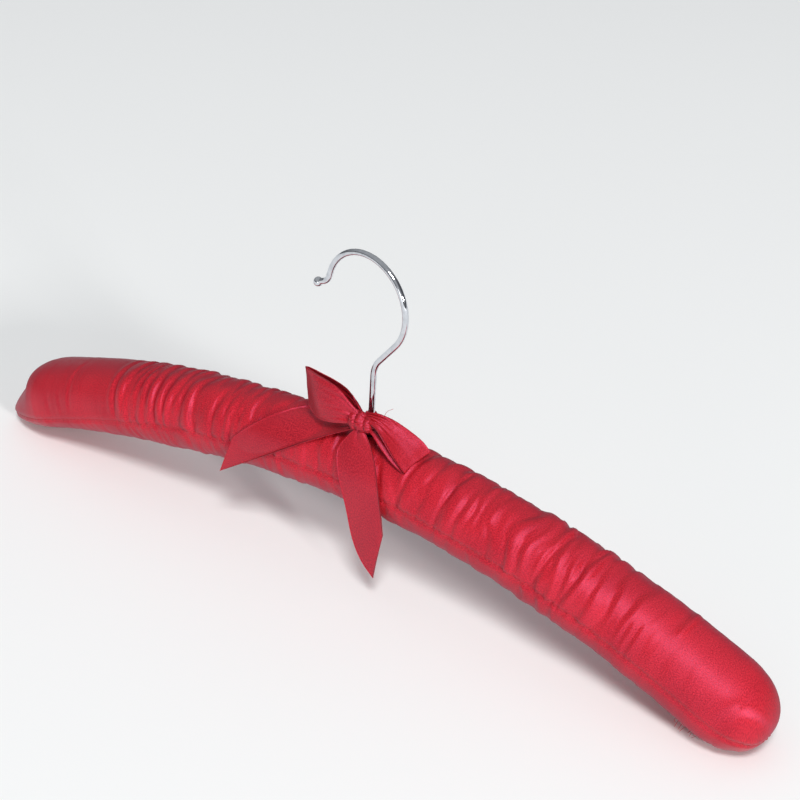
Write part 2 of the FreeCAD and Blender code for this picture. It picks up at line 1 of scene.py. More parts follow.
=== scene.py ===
"""A padded clothes hanger: gathered satin sleeves, a chrome swivel hook and a ribbon bow."""

import logging
import math
from dataclasses import dataclass, field
from enum import Enum
from typing import Sequence

import bpy
import numpy as np
from mathutils import Matrix, Vector


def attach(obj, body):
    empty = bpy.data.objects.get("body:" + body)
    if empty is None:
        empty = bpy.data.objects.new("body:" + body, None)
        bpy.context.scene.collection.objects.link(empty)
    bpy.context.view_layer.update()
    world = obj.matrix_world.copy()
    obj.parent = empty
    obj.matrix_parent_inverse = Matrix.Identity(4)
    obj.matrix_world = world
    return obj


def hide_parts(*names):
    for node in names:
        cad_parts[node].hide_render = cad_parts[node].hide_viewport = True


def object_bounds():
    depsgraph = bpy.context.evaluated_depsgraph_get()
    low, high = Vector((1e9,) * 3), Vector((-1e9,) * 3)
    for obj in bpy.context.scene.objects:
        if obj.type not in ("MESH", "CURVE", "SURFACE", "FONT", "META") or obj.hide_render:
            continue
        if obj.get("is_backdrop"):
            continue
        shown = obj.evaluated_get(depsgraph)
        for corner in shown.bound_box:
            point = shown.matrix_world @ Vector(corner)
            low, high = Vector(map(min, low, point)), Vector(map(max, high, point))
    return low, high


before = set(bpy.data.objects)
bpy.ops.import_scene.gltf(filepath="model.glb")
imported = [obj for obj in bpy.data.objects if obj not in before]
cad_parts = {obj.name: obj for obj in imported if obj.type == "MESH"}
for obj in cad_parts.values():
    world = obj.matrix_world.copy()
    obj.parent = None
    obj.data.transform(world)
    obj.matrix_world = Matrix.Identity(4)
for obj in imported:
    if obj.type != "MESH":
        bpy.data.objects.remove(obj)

Array = np.ndarray
Colour = tuple[float, float, float]
Point = tuple[float, float, float]
Socket = bpy.types.NodeSocket
Material = bpy.types.Material
Piece = bpy.types.Object

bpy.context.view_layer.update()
MM = 0.001
WEAVE_MAP = "weave"
CURVE_STEPS = 24
RIBBON_WIDTH = 20.0
log = logging.getLogger("padded_hanger")


class Body(Enum):
    """The two bodies that turn against each other."""

    HOOK = "hook"
    ARMS = "arms"


class Side(Enum):
    """Which arm, by the sign of its X."""

    LEFT = -1
    RIGHT = 1

    @property
    def word(self) -> str:
        """The side's name as the pieces use it."""
        return self.name.lower()


# --- sums on arrays -------------------------------------------------------------------------------


def smooth_step(low: float, high: float, value: Array) -> Array:
    """A smooth rise from 0 at low to 1 at high.

    Args:
        low: where the rise starts.
        high: where the rise ends, which may be below low for a fall.
        value: where to read it.

    Returns:
        The share at each value, from 0 to 1.
    """
    share = np.clip((np.asarray(value, float) - low) / (high - low), 0.0, 1.0)
    return share * share * (3.0 - 2.0 * share)


def bell(distance: Array, width: float) -> Array:
    """A bump of height 1 at distance 0, about width wide on each side."""
    return np.exp(-((np.asarray(distance, float) / width) ** 2))


def unit(vectors: Array) -> Array:
    """The vectors at length 1."""
    return vectors / np.maximum(np.linalg.norm(vectors, axis=-1, keepdims=True), 1e-12)


def full_turn(count: int) -> Array:
    """That many angles spread evenly round a circle."""
    return np.linspace(0.0, 2 * math.pi, count, endpoint=False)


def run_along(line: Array) -> Array:
    """The distance over a line from its start to each of its points."""
    return np.concatenate([[0.0], np.cumsum(np.linalg.norm(np.diff(line, axis=0), axis=1))])


def read_line(line: Array, run: Array, wanted: Array) -> Array:
    """A line's points at given distances.

    Args:
        line: the points.
        run: the distance from the start to each.
        wanted: the distances to read at.

    Returns:
        One row for each distance.
    """
    return np.stack([np.interp(wanted, run, line[:, k]) for k in range(3)], axis=1)


class SoftNoise:
    """Seeded gradient noise in three dimensions, the same on each run."""

    TABLE = 256
    GAIN = 1.6

    def __init__(self, seed: int) -> None:
        """Shuffles the table and draws the gradients.

        Args:
            seed: any whole number.
        """
        maker = np.random.default_rng(seed)
        self.order = np.concatenate([maker.permutation(self.TABLE)] * 2)
        self.slopes = unit(maker.normal(size=(self.TABLE, 3)))

    def at(self, x: Array, y: Array, z: Array) -> Array:
        """The noise at each point, from about -1 to 1.

        Args:
            x: first coordinate, one cell per unit.
            y: second coordinate.
            z: third coordinate.

        Returns:
            An array of the same shape.
        """
        x, y, z = np.broadcast_arrays(*(np.asarray(v, float) for v in (x, y, z)))
        cells = [np.floor(v).astype(int) for v in (x, y, z)]
        offsets = [v - c for v, c in zip((x, y, z), cells)]
        fades = [o * o * o * (o * (o * 6.0 - 15.0) + 10.0) for o in offsets]
        total = np.zeros(x.shape)
        for corner in range(8):
            step = [(corner >> bit) & 1 for bit in range(3)]
            place = [(c + s) % self.TABLE for c, s in zip(cells, step)]
            key = self.order[self.order[self.order[place[0]] + place[1]] + place[2]]
            slope = self.slopes[key]
            reach = np.stack([o - s for o, s in zip(offsets, step)], axis=-1)
            weight = np.ones(x.shape)
            for s, f in zip(step, fades):
                weight = weight * (f if s else 1.0 - f)
            total += weight * np.sum(slope * reach, axis=-1)
        return total * self.GAIN


def smooth_curve(points: Sequence[Point]) -> Array:
    """A smooth curve through the points, with CURVE_STEPS steps from each to the next.

    Args:
        points: at least two points, in millimetres.

    Returns:
        The curve's points.
    """
    fixed = np.array(points, float)
    fixed = np.vstack([2 * fixed[0] - fixed[1], fixed, 2 * fixed[-1] - fixed[-2]])
    dense = []
    for i in range(1, len(fixed) - 2):
        before, here, there, after = fixed[i - 1 : i + 3]
        for t in np.linspace(0.0, 1.0, CURVE_STEPS, endpoint=False):
            dense.append(
                0.5
                * (
                    2 * here
                    + (there - before) * t
                    + (2 * before - 5 * here + 4 * there - after) * t**2
                    + (3 * here - before - 3 * there + after) * t**3
                )
            )
    dense.append(fixed[-2])
    return np.array(dense)


def spline_pair(
    first: Sequence[Point], second: Sequence[Point], count: int
) -> tuple[Array, Array]:
    """Two smooth curves divided together, so that points given in pairs stay opposite each other.

    Args:
        first: at least two points, in millimetres.
        second: as many points.
        count: how many points to return on each.

    Returns:
        Two arrays of count rows.
    """
    lines = smooth_curve(first), smooth_curve(second)
    steps = sum(np.linalg.norm(np.diff(line, axis=0), axis=1) for line in lines) / 2
    run = np.concatenate([[0.0], np.cumsum(steps)])
    wanted = np.linspace(0.0, run[-1], count)
    one, other = (read_line(line, run, wanted) for line in lines)
    return one, other


def spline(points: Sequence[Point], count: int) -> Array:
    """A smooth curve through at least two points, evenly divided by length into count rows."""
    return spline_pair(points, points, count)[0]


def grid_normals(points: Array, ring: bool = False) -> Array:
    """Unit normals of a grid of points.

    Args:
        points: an array of rows by columns by 3.
        ring: whether the last column joins the first.

    Returns:
        An array of the same shape, along rows crossed with columns.
    """
    along = np.gradient(points, axis=0)
    if ring:
        across = np.roll(points, -1, axis=1) - np.roll(points, 1, axis=1)
    else:
        across = np.gradient(points, axis=1)
    return unit(np.cross(along, across))


# --- meshes ---------------------------------------------------------------------------------------


@dataclass
class MeshDraft:
    """Points, faces and a flat weave map gathered before a piece is made, all in millimetres."""

    points: list[Array] = field(default_factory=list)
    faces: list[tuple[int, ...]] = field(default_factory=list)
    weave: list[Array] = field(default_factory=list)
    count: int = 0

    def add_points(self, points: Array, weave: Array) -> int:
        """Adds points with their places on the flat cloth.

        Args:
            points: rows of three numbers.
            weave: rows of two numbers.

        Returns:
            The index of the first point added.
        """
        first = self.count
        self.points.append(points.reshape(-1, 3))
        self.weave.append(weave.reshape(-1, 2))
        self.count += len(self.points[-1])
        return first

    def add_grid(
        self, points: Array, weave: Array, ring: bool = False, flip: bool = False
    ) -> Array:
        """Adds a grid of quads.

        Args:
            points: rows by columns by 3.
            weave: rows by columns by 2.
            ring: whether the last column joins the first.
            flip: whether the faces look the other way.

        Returns:
            The index of each point of the grid.
        """
        rows, columns = points.shape[:2]
        index = self.add_points(points, weave) + np.arange(rows * columns).reshape(rows, columns)
        wide = columns if ring else columns - 1
        for i in range(rows - 1):
            for j in range(wide):
                k = (j + 1) % columns
                quad = (index[i, j], index[i + 1, j], index[i + 1, k], index[i, k])
                self.faces.append(tuple(int(v) for v in (quad[::-1] if flip else quad)))
        return index

    def add_cap(self, row: Array, tip: Array, weave: Array, flip: bool = False) -> None:
        """Closes a ring of points onto one point.

        Args:
            row: the ring's indices.
            tip: the closing point.
            weave: its place on the flat cloth.
            flip: whether the faces look the other way.
        """
        end = self.add_points(tip, weave)
        for j in range(len(row)):
            triangle = (int(row[j]), end, int(row[(j + 1) % len(row)]))
            self.faces.append(triangle[::-1] if flip else triangle)

    def add_bridge(
        self, first: Array, second: Array, ring: bool = True, flip: bool = False
    ) -> None:
        """Joins two rows of equal length with quads.

        Args:
            first: indices of one row.
            second: indices of the other.
            ring: whether the rows are closed.
            flip: whether the faces look the other way.
        """
        size = len(first)
        for j in range(size if ring else size - 1):
            k = (j + 1) % size
            quad = (int(first[j]), int(second[j]), int(second[k]), int(first[k]))
            self.faces.append(quad[::-1] if flip else quad)

    def add_shell(
        self, skins: Sequence[Array], weaves: Sequence[Array], flip: bool
    ) -> None:
        """Adds a hollow arm: an outer and an inner skin, each closed at its tip, joined at the rim.

        Args:
            skins: the outer and the inner grid of points.
            weaves: their places on the flat cloth.
            flip: whether the outer faces look the other way.
        """
        rims = []
        for skin, weave, turned in zip(skins, weaves, (flip, not flip)):
            index = self.add_grid(skin, weave, ring=True, flip=turned)
            self.add_cap(index[-1], skin[-1].mean(axis=0), weave[-1, 0], flip=turned)
            rims.append(index[0])
        self.add_bridge(rims[1], rims[0], flip=flip)

    def build(self, name: str, lift: float = 0.0) -> Piece:
        """Makes the Blender object in metres.

        Args:
            name: the piece's name.
            lift: millimetres added to every height.

        Returns:
            The new object, smooth shaded.
        """
        points = np.vstack(self.points) + np.array([0.0, 0.0, lift])
        weave = np.vstack(self.weave)
        mesh = bpy.data.meshes.new(name)
        mesh.from_pydata((points * MM).tolist(), [], self.faces)
        mesh.validate()
        mesh.shade_smooth()
        layer = mesh.uv_layers.new(name=WEAVE_MAP)
        corners = np.zeros(len(mesh.loops), dtype=np.int32)
        mesh.loops.foreach_get("vertex_index", corners)
        layer.data.foreach_set("uv", weave[corners].astype(np.float32).ravel())
        piece = bpy.data.objects.new(name, mesh)
        bpy.context.scene.collection.objects.link(piece)
        return piece


def add_tube(draft: MeshDraft, line: Array, radii: Array, sides: int) -> None:
    """Adds a closed round tube along a line.

    Args:
        draft: where it goes.
        line: the centreline, rows of three numbers.
        radii: the radius at each row.
        sides: how many sides the tube has.
    """
    slant = [0.31, 0.83, 0.46]  # any direction that no tube starts along
    bulge = 0.3
    turns = full_turn(sides)
    tangents = unit(np.gradient(line, axis=0))
    side = unit(np.cross(tangents[0], slant))
    rings = []
    for point, tangent, radius in zip(line, tangents, radii):
        side = unit(side - tangent * float(side @ tangent))
        up = np.cross(tangent, side)
        ring = np.outer(np.cos(turns), side) + np.outer(np.sin(turns), up)
        rings.append(point + radius * ring)
    points = np.array(rings)
    around = turns * float(np.mean(radii))
    weave = np.stack(np.meshgrid(run_along(line), around, indexing="ij"), axis=-1)
    index = draft.add_grid(points, weave, ring=True, flip=True)
    draft.add_cap(index[0], line[0] - tangents[0] * radii[0] * bulge, weave[0, 0])
    draft.add_cap(index[-1], line[-1] + tangents[-1] * radii[-1] * bulge, weave[-1, 0], flip=True)


def settle(piece: Piece, body: Body, slot: str, finish: Material, *nodes: str) -> None:
    """Gives a piece its body and finish, and hides the CAD nodes that it stands for.

    Args:
        piece: the object.
        body: the body that it rides on.
        slot: not used.
        finish: the material.
        nodes: the CAD nodes that it replaces.
    """
    piece.data.materials.append(finish)
    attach(piece, body.value)
    if nodes:
        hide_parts(*nodes)
    log.info("%s: %d points on %s", piece.name, len(piece.data.vertices), body.value)


# --- finishes -------------------------------------------------------------------------------------


class Bench:
    """One material's node tree while it is being wired."""

    NOISE_MIDDLE = (0.3, 0.7)
    MIX_SHARE, MIX_LOW, MIX_HIGH, MIX_COLOUR = 0, 6, 7, 2  # a colour mix node's sockets

    def __init__(self, name: str) -> None:
        """Starts an empty material with its shader and output.

        Args:
            name: the material's name.
        """
        self.material = bpy.data.materials.new(name)
        self.material.use_nodes = True
        self.tree = self.material.node_tree
        self.tree.nodes.clear()
        self.shader = self.tree.nodes.new("ShaderNodeBsdfPrincipled")
        output = self.tree.nodes.new("ShaderNodeOutputMaterial")
        self.join(self.shader.outputs["BSDF"], output.inputs["Surface"])

    def join(self, source: Socket, target: Socket) -> None:
        """Links two sockets."""
        self.tree.links.new(source, target)

    def feed(self, **sources: Socket) -> None:
        """Links sockets to the shader's own, named with underscores for spaces."""
        for name, source in sources.items():
            self.join(source, self.shader.inputs[name.replace("_", " ")])

    def node(self, kind: str, **values: float) -> bpy.types.Node:
        """A new node with some of its inputs set.

        Args:
            kind: the node's type name.
            values: input names, with underscores for spaces, and numbers.

        Returns:
            The node.
        """
        made = self.tree.nodes.new(kind)
        for name, value in values.items():
            made.inputs[name.replace("_", " ")].default_value = value
        return made

    def flat_cloth(self) -> Socket:
        """The place on the flat cloth, in millimetres."""
        made = self.tree.nodes.new("ShaderNodeUVMap")
        made.uv_map = WEAVE_MAP
        return made.outputs["UV"]

    def solid_place(self) -> Socket:
        """The place in the object's own space, in metres."""
        return self.tree.nodes.new("ShaderNodeTexCoord").outputs["Object"]

    def lay_floats(self) -> None:
        """Turns the gloss across the cloth's long threads."""
        along = self.tree.nodes.new("ShaderNodeTangent")
        along.direction_type = "UV_MAP"
        along.uv_map = WEAVE_MAP
        self.feed(Tangent=along.outputs[0])
        self.set(Anisotropic_Rotation=0.25)

    def stretch(self, source: Socket, scale: Point) -> Socket:
        """A place multiplied by a scale on each axis."""
        made = self.tree.nodes.new("ShaderNodeMapping")
        made.inputs["Scale"].default_value = scale
        self.join(source, made.inputs["Vector"])
        return made.outputs["Vector"]

    def noise(self, place: Socket, scale: float, detail: float = 2.0) -> Socket:
        """Noise from 0 to 1 at a place."""
        made = self.node("ShaderNodeTexNoise", Scale=scale, Detail=detail)
        self.join(place, made.inputs["Vector"])
        return made.outputs["Fac"]

    def bands(
        self, place: Socket, pitch: float, axis: str, wander: float = 0.0
    ) -> Socket:
        """Even bands.

        Args:
            place: where they are read.
            pitch: the distance from one to the next, in the place's own unit.
            axis: X, Y or Z.
            wander: how far they stray.

        Returns:
            A socket from 0 to 1.
        """
        made = self.node("ShaderNodeTexWave", Scale=2 * math.pi / (20 * pitch), Distortion=wander)
        made.wave_type = "BANDS"
        made.bands_direction = axis
        self.join(place, made.inputs["Vector"])
        return made.outputs["Fac"]

    def blend(self, share: Socket, low: Colour | Socket, high: Colour) -> Socket:
        """A colour between two as the share goes from 0 to 1.

        Args:
            share: where it stands between the two.
            low: a fixed colour, or a socket that changes over the surface.
            high: a fixed colour.

        Returns:
            The mixed colour.
        """
        made = self.tree.nodes.new("ShaderNodeMix")
        made.data_type = "RGBA"
        made.inputs[self.MIX_HIGH].default_value = (*high, 1.0)
        self.join(share, made.inputs[self.MIX_SHARE])
        if isinstance(low, tuple):
            made.inputs[self.MIX_LOW].default_value = (*low, 1.0)
        else:
            self.join(low, made.inputs[self.MIX_LOW])
        return made.outputs[self.MIX_COLOUR]

    def spread(self, noise: Socket, low: float, high: float) -> Socket:
        """Noise with its middle range, where nearly all of it lies, moved to low and high."""
        return self.remap(noise, *self.NOISE_MIDDLE, low, high)

    def remap(
        self, source: Socket, low: float, high: float, to_low: float, to_high: float
    ) -> Socket:
        """A value moved from one range to another, held at its ends."""
        made = self.node("ShaderNodeMapRange")
        for number, value in enumerate((low, high, to_low, to_high), start=1):
            made.inputs[number].default_value = value
        self.join(source, made.inputs[0])
        return made.outputs["Result"]

    def sum(self, first: Socket, second: Socket) -> Socket:
        """Two values added."""
        made = self.tree.nodes.new("ShaderNodeMath")
        made.operation = "ADD"
        self.join(first, made.inputs[0])
        self.join(second, made.inputs[1])
        return made.outputs[0]

    def facing(self, blend: float) -> Socket:
        """How far the surface turns away from the view, for the painted dark sheen at a cloth's
        grazing edges.
        """
        return self.node("ShaderNodeLayerWeight", Blend=blend).outputs["Facing"]

    def bump(self, height: Socket, depth: float, strength: float) -> None:
        """Raises the surface by a height.

        Args:
            height: a socket from 0 to 1.
            depth: how high 1 is, in metres.
            strength: how strongly it shows.
        """
        made = self.node("ShaderNodeBump", Strength=strength, Distance=depth)
        self.join(height, made.inputs["Height"])
        self.feed(Normal=made.outputs["Normal"])

    def set(self, **values: float | Colour) -> None:
        """Sets the shader's own sockets, with underscores for spaces."""
        for name, value in values.items():
            socket = self.shader.inputs[name.replace("_", " ")]
            socket.default_value = (*value, 1.0) if isinstance(value, tuple) else value


@dataclass(frozen=True)
class SatinFinish:
    """Polyester satin: a close weave of long floats, glossy along the thread."""

    name: str = "satin"
    deep: Colour = (0.25, 0.004, 0.008)
    light: Colour = (0.60, 0.020, 0.032)
    # painted shade: the darker colour the cloth turns to where its surface turns away from the
    # view, standing in for its dark reflection at the silhouette
    edge: Colour = (0.23, 0.004, 0.026)
    float_pitch: float = 0.28
    pick_pitch: float = 0.4
    roughness: float = 0.38
    gloss: float = 1.0
    gloss_tint: Colour = (1.0, 0.22, 0.42)
    anisotropy: float = 0.85
    grain: float = 0.3
    clouding: float = 0.14
    speckles: Point = (1.4, 2.1, 1.0)
    clouds: float = 0.045
    thread_height: float = 0.00005

    def make(self) -> Material:
        """The material."""
        bench = Bench(self.name)
        cloth = bench.flat_cloth()
        speckle = bench.noise(bench.stretch(cloth, self.speckles), 1.0)
        cloud = bench.noise(cloth, self.clouds)
        shade = bench.sum(
            bench.spread(speckle, 0.5 - self.grain * 2, 0.5 + self.grain * 2),
            bench.spread(cloud, -self.clouding, self.clouding),
        )
        body = bench.blend(shade, self.deep, self.light)
        # Painted shade: the share of the grazing shade colour grows as the surface turns away from
        # the view.
        turned = bench.remap(bench.facing(0.42), 0.35, 0.95, 0.0, 0.8)
        floats = bench.bands(cloth, self.float_pitch, "X", 0.4)
        picks = bench.bands(cloth, self.pick_pitch, "Y", 0.6)
        weave = bench.sum(bench.remap(floats, 0, 1, 0, 0.5), bench.remap(picks, 0, 1, 0, 0.3))
        bench.bump(bench.sum(weave, bench.spread(speckle, 0.0, 0.6)), self.thread_height, 0.35)
        bench.feed(
            Base_Color=bench.blend(turned, body, self.edge),
            Roughness=bench.spread(speckle, self.roughness - 0.05, self.roughness + 0.07),
        )
        bench.lay_floats()
        bench.set(
            Specular_IOR_Level=self.gloss,
            Specular_Tint=self.gloss_tint,
            Anisotropic=self.anisotropy,
        )
        return bench.material


@dataclass(frozen=True)
class ThreadFinish:
    """Twisted polyester sewing thread."""

    name: str = "thread"
    dark: Colour = (0.33, 0.010, 0.018)
    light: Colour = (0.54, 0.028, 0.042)
    twist_pitch: float = 0.3
    twist_height: float = 0.00006

    def make(self) -> Material:
        """The material."""
        bench = Bench(self.name)
        twist = bench.bands(bench.flat_cloth(), self.twist_pitch, "DIAGONAL")
        bench.bump(twist, self.twist_height, 0.6)
        bench.feed(
            Base_Color=bench.blend(twist, self.dark, self.light),
            Roughness=bench.remap(twist, 0, 1, 0.62, 0.5),
        )
        bench.set(Specular_IOR_Level=0.4)
        return bench.material


@dataclass(frozen=True)
class ChromeFinish:
    """Bright chrome plate on drawn wire, with fine draw marks and a few dull spots."""

    name: str = "hook_chrome"
    bright: Colour = (0.70, 0.72, 0.76)
    dull: Colour = (0.56, 0.58, 0.62)
    spots: float = 320.0
    draw_marks: Point = (0.12, 5.0, 1.0)
    mark_height: float = 0.00001

    def make(self) -> Material:
        """The material."""
        bench = Bench(self.name)
        spots = bench.noise(bench.solid_place(), self.spots, 3.0)
        share = bench.remap(spots, 0.4, 0.7, 0.0, 1.0)
        bench.feed(
            Base_Color=bench.blend(share, self.bright, self.dull),
            Roughness=bench.remap(spots, 0.35, 0.75, 0.045, 0.14),
        )
        marks = bench.noise(bench.stretch(bench.flat_cloth(), self.draw_marks), 1.0)
        bench.bump(marks, self.mark_height, 0.08)
        bench.set(Metallic=1.0)
        return bench.material


@dataclass(frozen=True)
class SteelFinish:
    """Zinc-plated turned steel, dull and finely ringed."""

    name: str = "bush_steel"
    light: Colour = (0.60, 0.60, 0.62)
    dark: Colour = (0.42, 0.42, 0.44)
    ring_pitch: float = 0.0002
    ring_height: float = 0.00002
    bloom: float = 500.0

    def make(self) -> Material:
        """The material."""
        bench = Bench(self.name)
        place = bench.solid_place()
        bloom = bench.noise(place, self.bloom, 3.0)
        bench.feed(
            Base_Color=bench.blend(bloom, self.dark, self.light),
            Roughness=bench.spread(bloom, 0.3, 0.5),
        )
        bench.bump(bench.bands(place, self.ring_pitch, "Z", 0.8), self.ring_height, 0.3)
        bench.set(Metallic=1.0)
        return bench.material


@dataclass(frozen=True)
class WoodFinish:
    """Plain sanded softwood with its grain along the bar."""

    name: str = "core_wood"
    pale: Colour = (0.64, 0.44, 0.25)
    dark: Colour = (0.43, 0.25, 0.12)
    ring_scale: Point = (14.0, 160.0, 160.0)
    pore_scale: Point = (90.0, 1400.0, 1400.0)
    grain_height: float = 0.00012

    def make(self) -> Material:
        """The material."""
        bench = Bench(self.name)
        place = bench.solid_place()
        rings = bench.bands(bench.stretch(place, self.ring_scale), 1.1, "Z", 6.0)
        pores = bench.noise(bench.stretch(place, self.pore_scale), 1.0, 3.0)
        share = bench.sum(bench.remap(rings, 0, 1, 0, 0.7), bench.spread(pores, 0, 0.3))
        bench.feed(
            Base_Color=bench.blend(share, self.pale, self.dark),
            Roughness=bench.spread(pores, 0.5, 0.68),
        )
        bench.bump(share, self.grain_height, 0.4)
        return bench.material


@dataclass(frozen=True)
class WaddingFinish:
    """White fibre wadding, matt and tufted."""

    name: str = "padding"
    white: Colour = (0.87, 0.86, 0.83)
    shadow: Colour = (0.70, 0.69, 0.66)
    tufts: float = 260.0
    hair_scale: Point = (300.0, 1800.0, 900.0)
    tuft_height: float = 0.0006

    def make(self) -> Material:
        """The material."""
        bench = Bench(self.name)
        place = bench.solid_place()
        tufts = bench.noise(place, self.tufts, 5.0)
        hairs = bench.noise(bench.stretch(place, self.hair_scale), 1.0, 3.0)
        share = bench.sum(bench.spread(tufts, 0, 0.6), bench.spread(hairs, 0, 0.4))
        bench.feed(
            Base_Color=bench.blend(share, self.shadow, self.white),
            Roughness=bench.spread(hairs, 0.9, 1.0),
        )
        bench.bump(share, self.tuft_height, 0.7)
        bench.set(Specular_IOR_Level=0.15, Sheen_Weight=0.3)
        return bench.material


@dataclass(frozen=True)
class FloorFinish:
    """A plain white sweep, barely mottled."""

    name: str = "studio_floor"
    white: Colour = (0.88, 0.90, 0.903)
    pale: Colour = (0.87, 0.888, 0.893)

    def make(self) -> Material:
        """The material."""
        bench = Bench(self.name)
        clouds = bench.noise(bench.solid_place(), 3.0, 1.0)
        bench.feed(Base_Color=bench.blend(clouds, self.pale, self.white))
        bench.set(Roughness=0.9, Specular_IOR_Level=0.1)
        return bench.material


# --- the padded arms ------------------------------------------------------------------------------


@dataclass(frozen=True)
class ArmForm:
    """The smooth shape of the padded arms, in millimetres from the middle of the crown."""

    span: float = 400.0
    drop: float = 44.45
    crown_height: float = 34.1
    crown_thickness: float = 32.0
    end_height: float = 36.8
    end_thickness: float = 39.0
    end_length: float = 27.4
    section_power: float = 2.3
    end_power: float = 2.4

    CAP_SHARE = 0.985
    CAP_STEPS = 400

    @property
    def radius(self) -> float:
        """The radius of the centreline's arc."""
        return ((self.span / 2) ** 2 + self.drop**2) / (2 * self.drop)

    @property
    def length(self) -> float:
        """The centreline's length from the crown to an end."""
        return self.radius * math.asin(self.span / 2 / self.radius)

    def halves(self, station: Array) -> tuple[Array, Array]:
        """Half the height and half the thickness at a distance from the crown."""
        share = np.minimum(np.asarray(station, float) / self.length, 1.0)
        height = self.crown_height + (self.end_height - self.crown_height) * share
        thickness = self.crown_thickness + (self.end_thickness - self.crown_thickness) * share
        return height / 2, thickness / 2

    def rows(self, pitch: float, grow: float = 0.0) -> tuple[Array, Array]:
        """Stations and section scales for an even mesh.

        Args:
            pitch: the distance from one row to the next.
            grow: how far the shape is grown.

        Returns:
            The distance from the crown and the section's scale of each row.
        """
        length, cap = self.length + grow, self.end_length + grow
        straight = np.linspace(0.0, length - cap, int((length - cap) / pitch) + 1)
        turns = np.linspace(0.0, math.pi / 2 * self.CAP_SHARE, self.CAP_STEPS)
        power = 2 / self.end_power
        stations = length - cap + cap * np.sin(turns) ** power
        scales = np.cos(turns) ** power
        steps = np.hypot(np.diff(stations), np.diff(scales) * self.end_height / 2)
        run = np.concatenate([[0.0], np.cumsum(steps)])
        even = np.linspace(0.0, run[-1], int(run[-1] / pitch) + 1)[1:]
        station = np.concatenate([straight, np.interp(even, run, stations)])
        scale = np.concatenate([np.ones(len(straight)), np.interp(even, run, scales)])
        return station, scale

    def place(self, side: Side, station: Array, outward: Array, y: Array) -> Array:
        """Points from their distance along the arc, above it and behind it."""
        turn = side.value * np.asarray(station, float) / self.radius
        far = self.radius + outward
        x, z = np.sin(turn) * far, np.cos(turn) * far - self.radius
        return np.stack([x, y + 0 * turn, z], axis=-1)

    def skin(
        self, side: Side, station: Array, scale: Array, angle: Array, grow: float = 0.0
    ) -> Array:
        """Points of the smooth surface.

        Args:
            side: which arm.
            station: the distance from the crown.
            scale: the section's scale.
            angle: the angle round the section, 0 at the back and a quarter turn at the top.
            grow: how far the shape is grown.

        Returns:
            An array of points.
        """
        half_height, half_thickness = self.halves(station)
        c, s, p = np.cos(angle), np.sin(angle), self.section_power
        reach = (np.abs(c) ** p + np.abs(s) ** p) ** (-1 / p)
        outward = (half_height + grow) * scale * reach * s
        return self.place(side, station, outward, (half_thickness + grow) * scale * reach * c)

    def clear(self, points: Array, gap: float) -> Array:
        """Points pushed out of the arms, to lie at least gap above the smooth surface.

        Args:
            points: any array of points.
            gap: the least distance.

        Returns:
            The moved points.
        """
        x, y, z = points[..., 0], points[..., 1], points[..., 2] + self.radius
        far = np.hypot(x, z)
        station = np.abs(np.arctan2(x, z)) * self.radius
        half_height, half_thickness = self.halves(station)
        outward = far - self.radius
        p, deepest = self.section_power, 0.3
        high = (np.abs(outward) / (half_height + gap)) ** p
        wide = (np.abs(y) / (half_thickness + gap)) ** p
        push = np.maximum(1.0, 1.0 / np.maximum((high + wide) ** (1 / p), deepest))
        turn = np.arctan2(x, z)
        far = self.radius + outward * push
        return np.stack([np.sin(turn) * far, y * push, np.cos(turn) * far - self.radius], axis=-1)


@dataclass(frozen=True)
class Crease:
    """One long fold across an arm: its place, how far round it runs, and its size in mm."""

    station: float
    low_angle: float
    high_angle: float
    depth: float
    width: float = 1.6
    lean: float = 0.0
    step: float = 0.0

    FADE_OUTSIDE = 14
    FADE_INSIDE = 10
    VALLEY_WIDTH = 0.7
    LIP_HEIGHT = 0.55
    LIP_PLACE = 1.7
    LIP_WIDTH = 1.1

    def height(self, station: Array, angle: Array) -> Array:
        """The surface's rise or fall at each place.

        Args:
            station: distances from the crown.
            angle: angles round the section, in degrees.

        Returns:
            Millimetres, below 0 in the crease and above 0 on its lip.
        """
        middle = (self.low_angle + self.high_angle) / 2
        away = station - self.station - self.lean * (angle - middle) / 90.0
        inside = self.FADE_INSIDE
        starts = smooth_step(self.low_angle - self.FADE_OUTSIDE, self.low_angle + inside, angle)
        reach = starts * smooth_step(self.high_angle + inside, self.high_angle - inside, angle)
        valley = -self.depth * bell(away, self.width * self.VALLEY_WIDTH)
        beyond = away - np.sign(self.depth) * self.width * self.LIP_PLACE
        lip = self.LIP_HEIGHT * self.depth * bell(beyond, self.width * self.LIP_WIDTH)
        ledge = self.step * (smooth_step(self.width, -self.width, away) - 0.5)
        return (valley + lip + ledge) * reach


@dataclass(frozen=True)
class Gathers:
    """How closely and how deeply a sleeve is gathered along its length."""

    seed: int
    pitch: float
    depth: float
    start: tuple[float, float]
    end: tuple[float, float]
    wander: float
    under_depth: float
    rest: float
    creases: tuple[Crease, ...] = ()

    def amount(self, station: Array) -> Array:
        """The gathering's share at each distance from the crown."""
        inside = smooth_step(*self.start, station) * smooth_step(self.end[1], self.end[0], station)
        return self.rest + (1 - self.rest) * inside


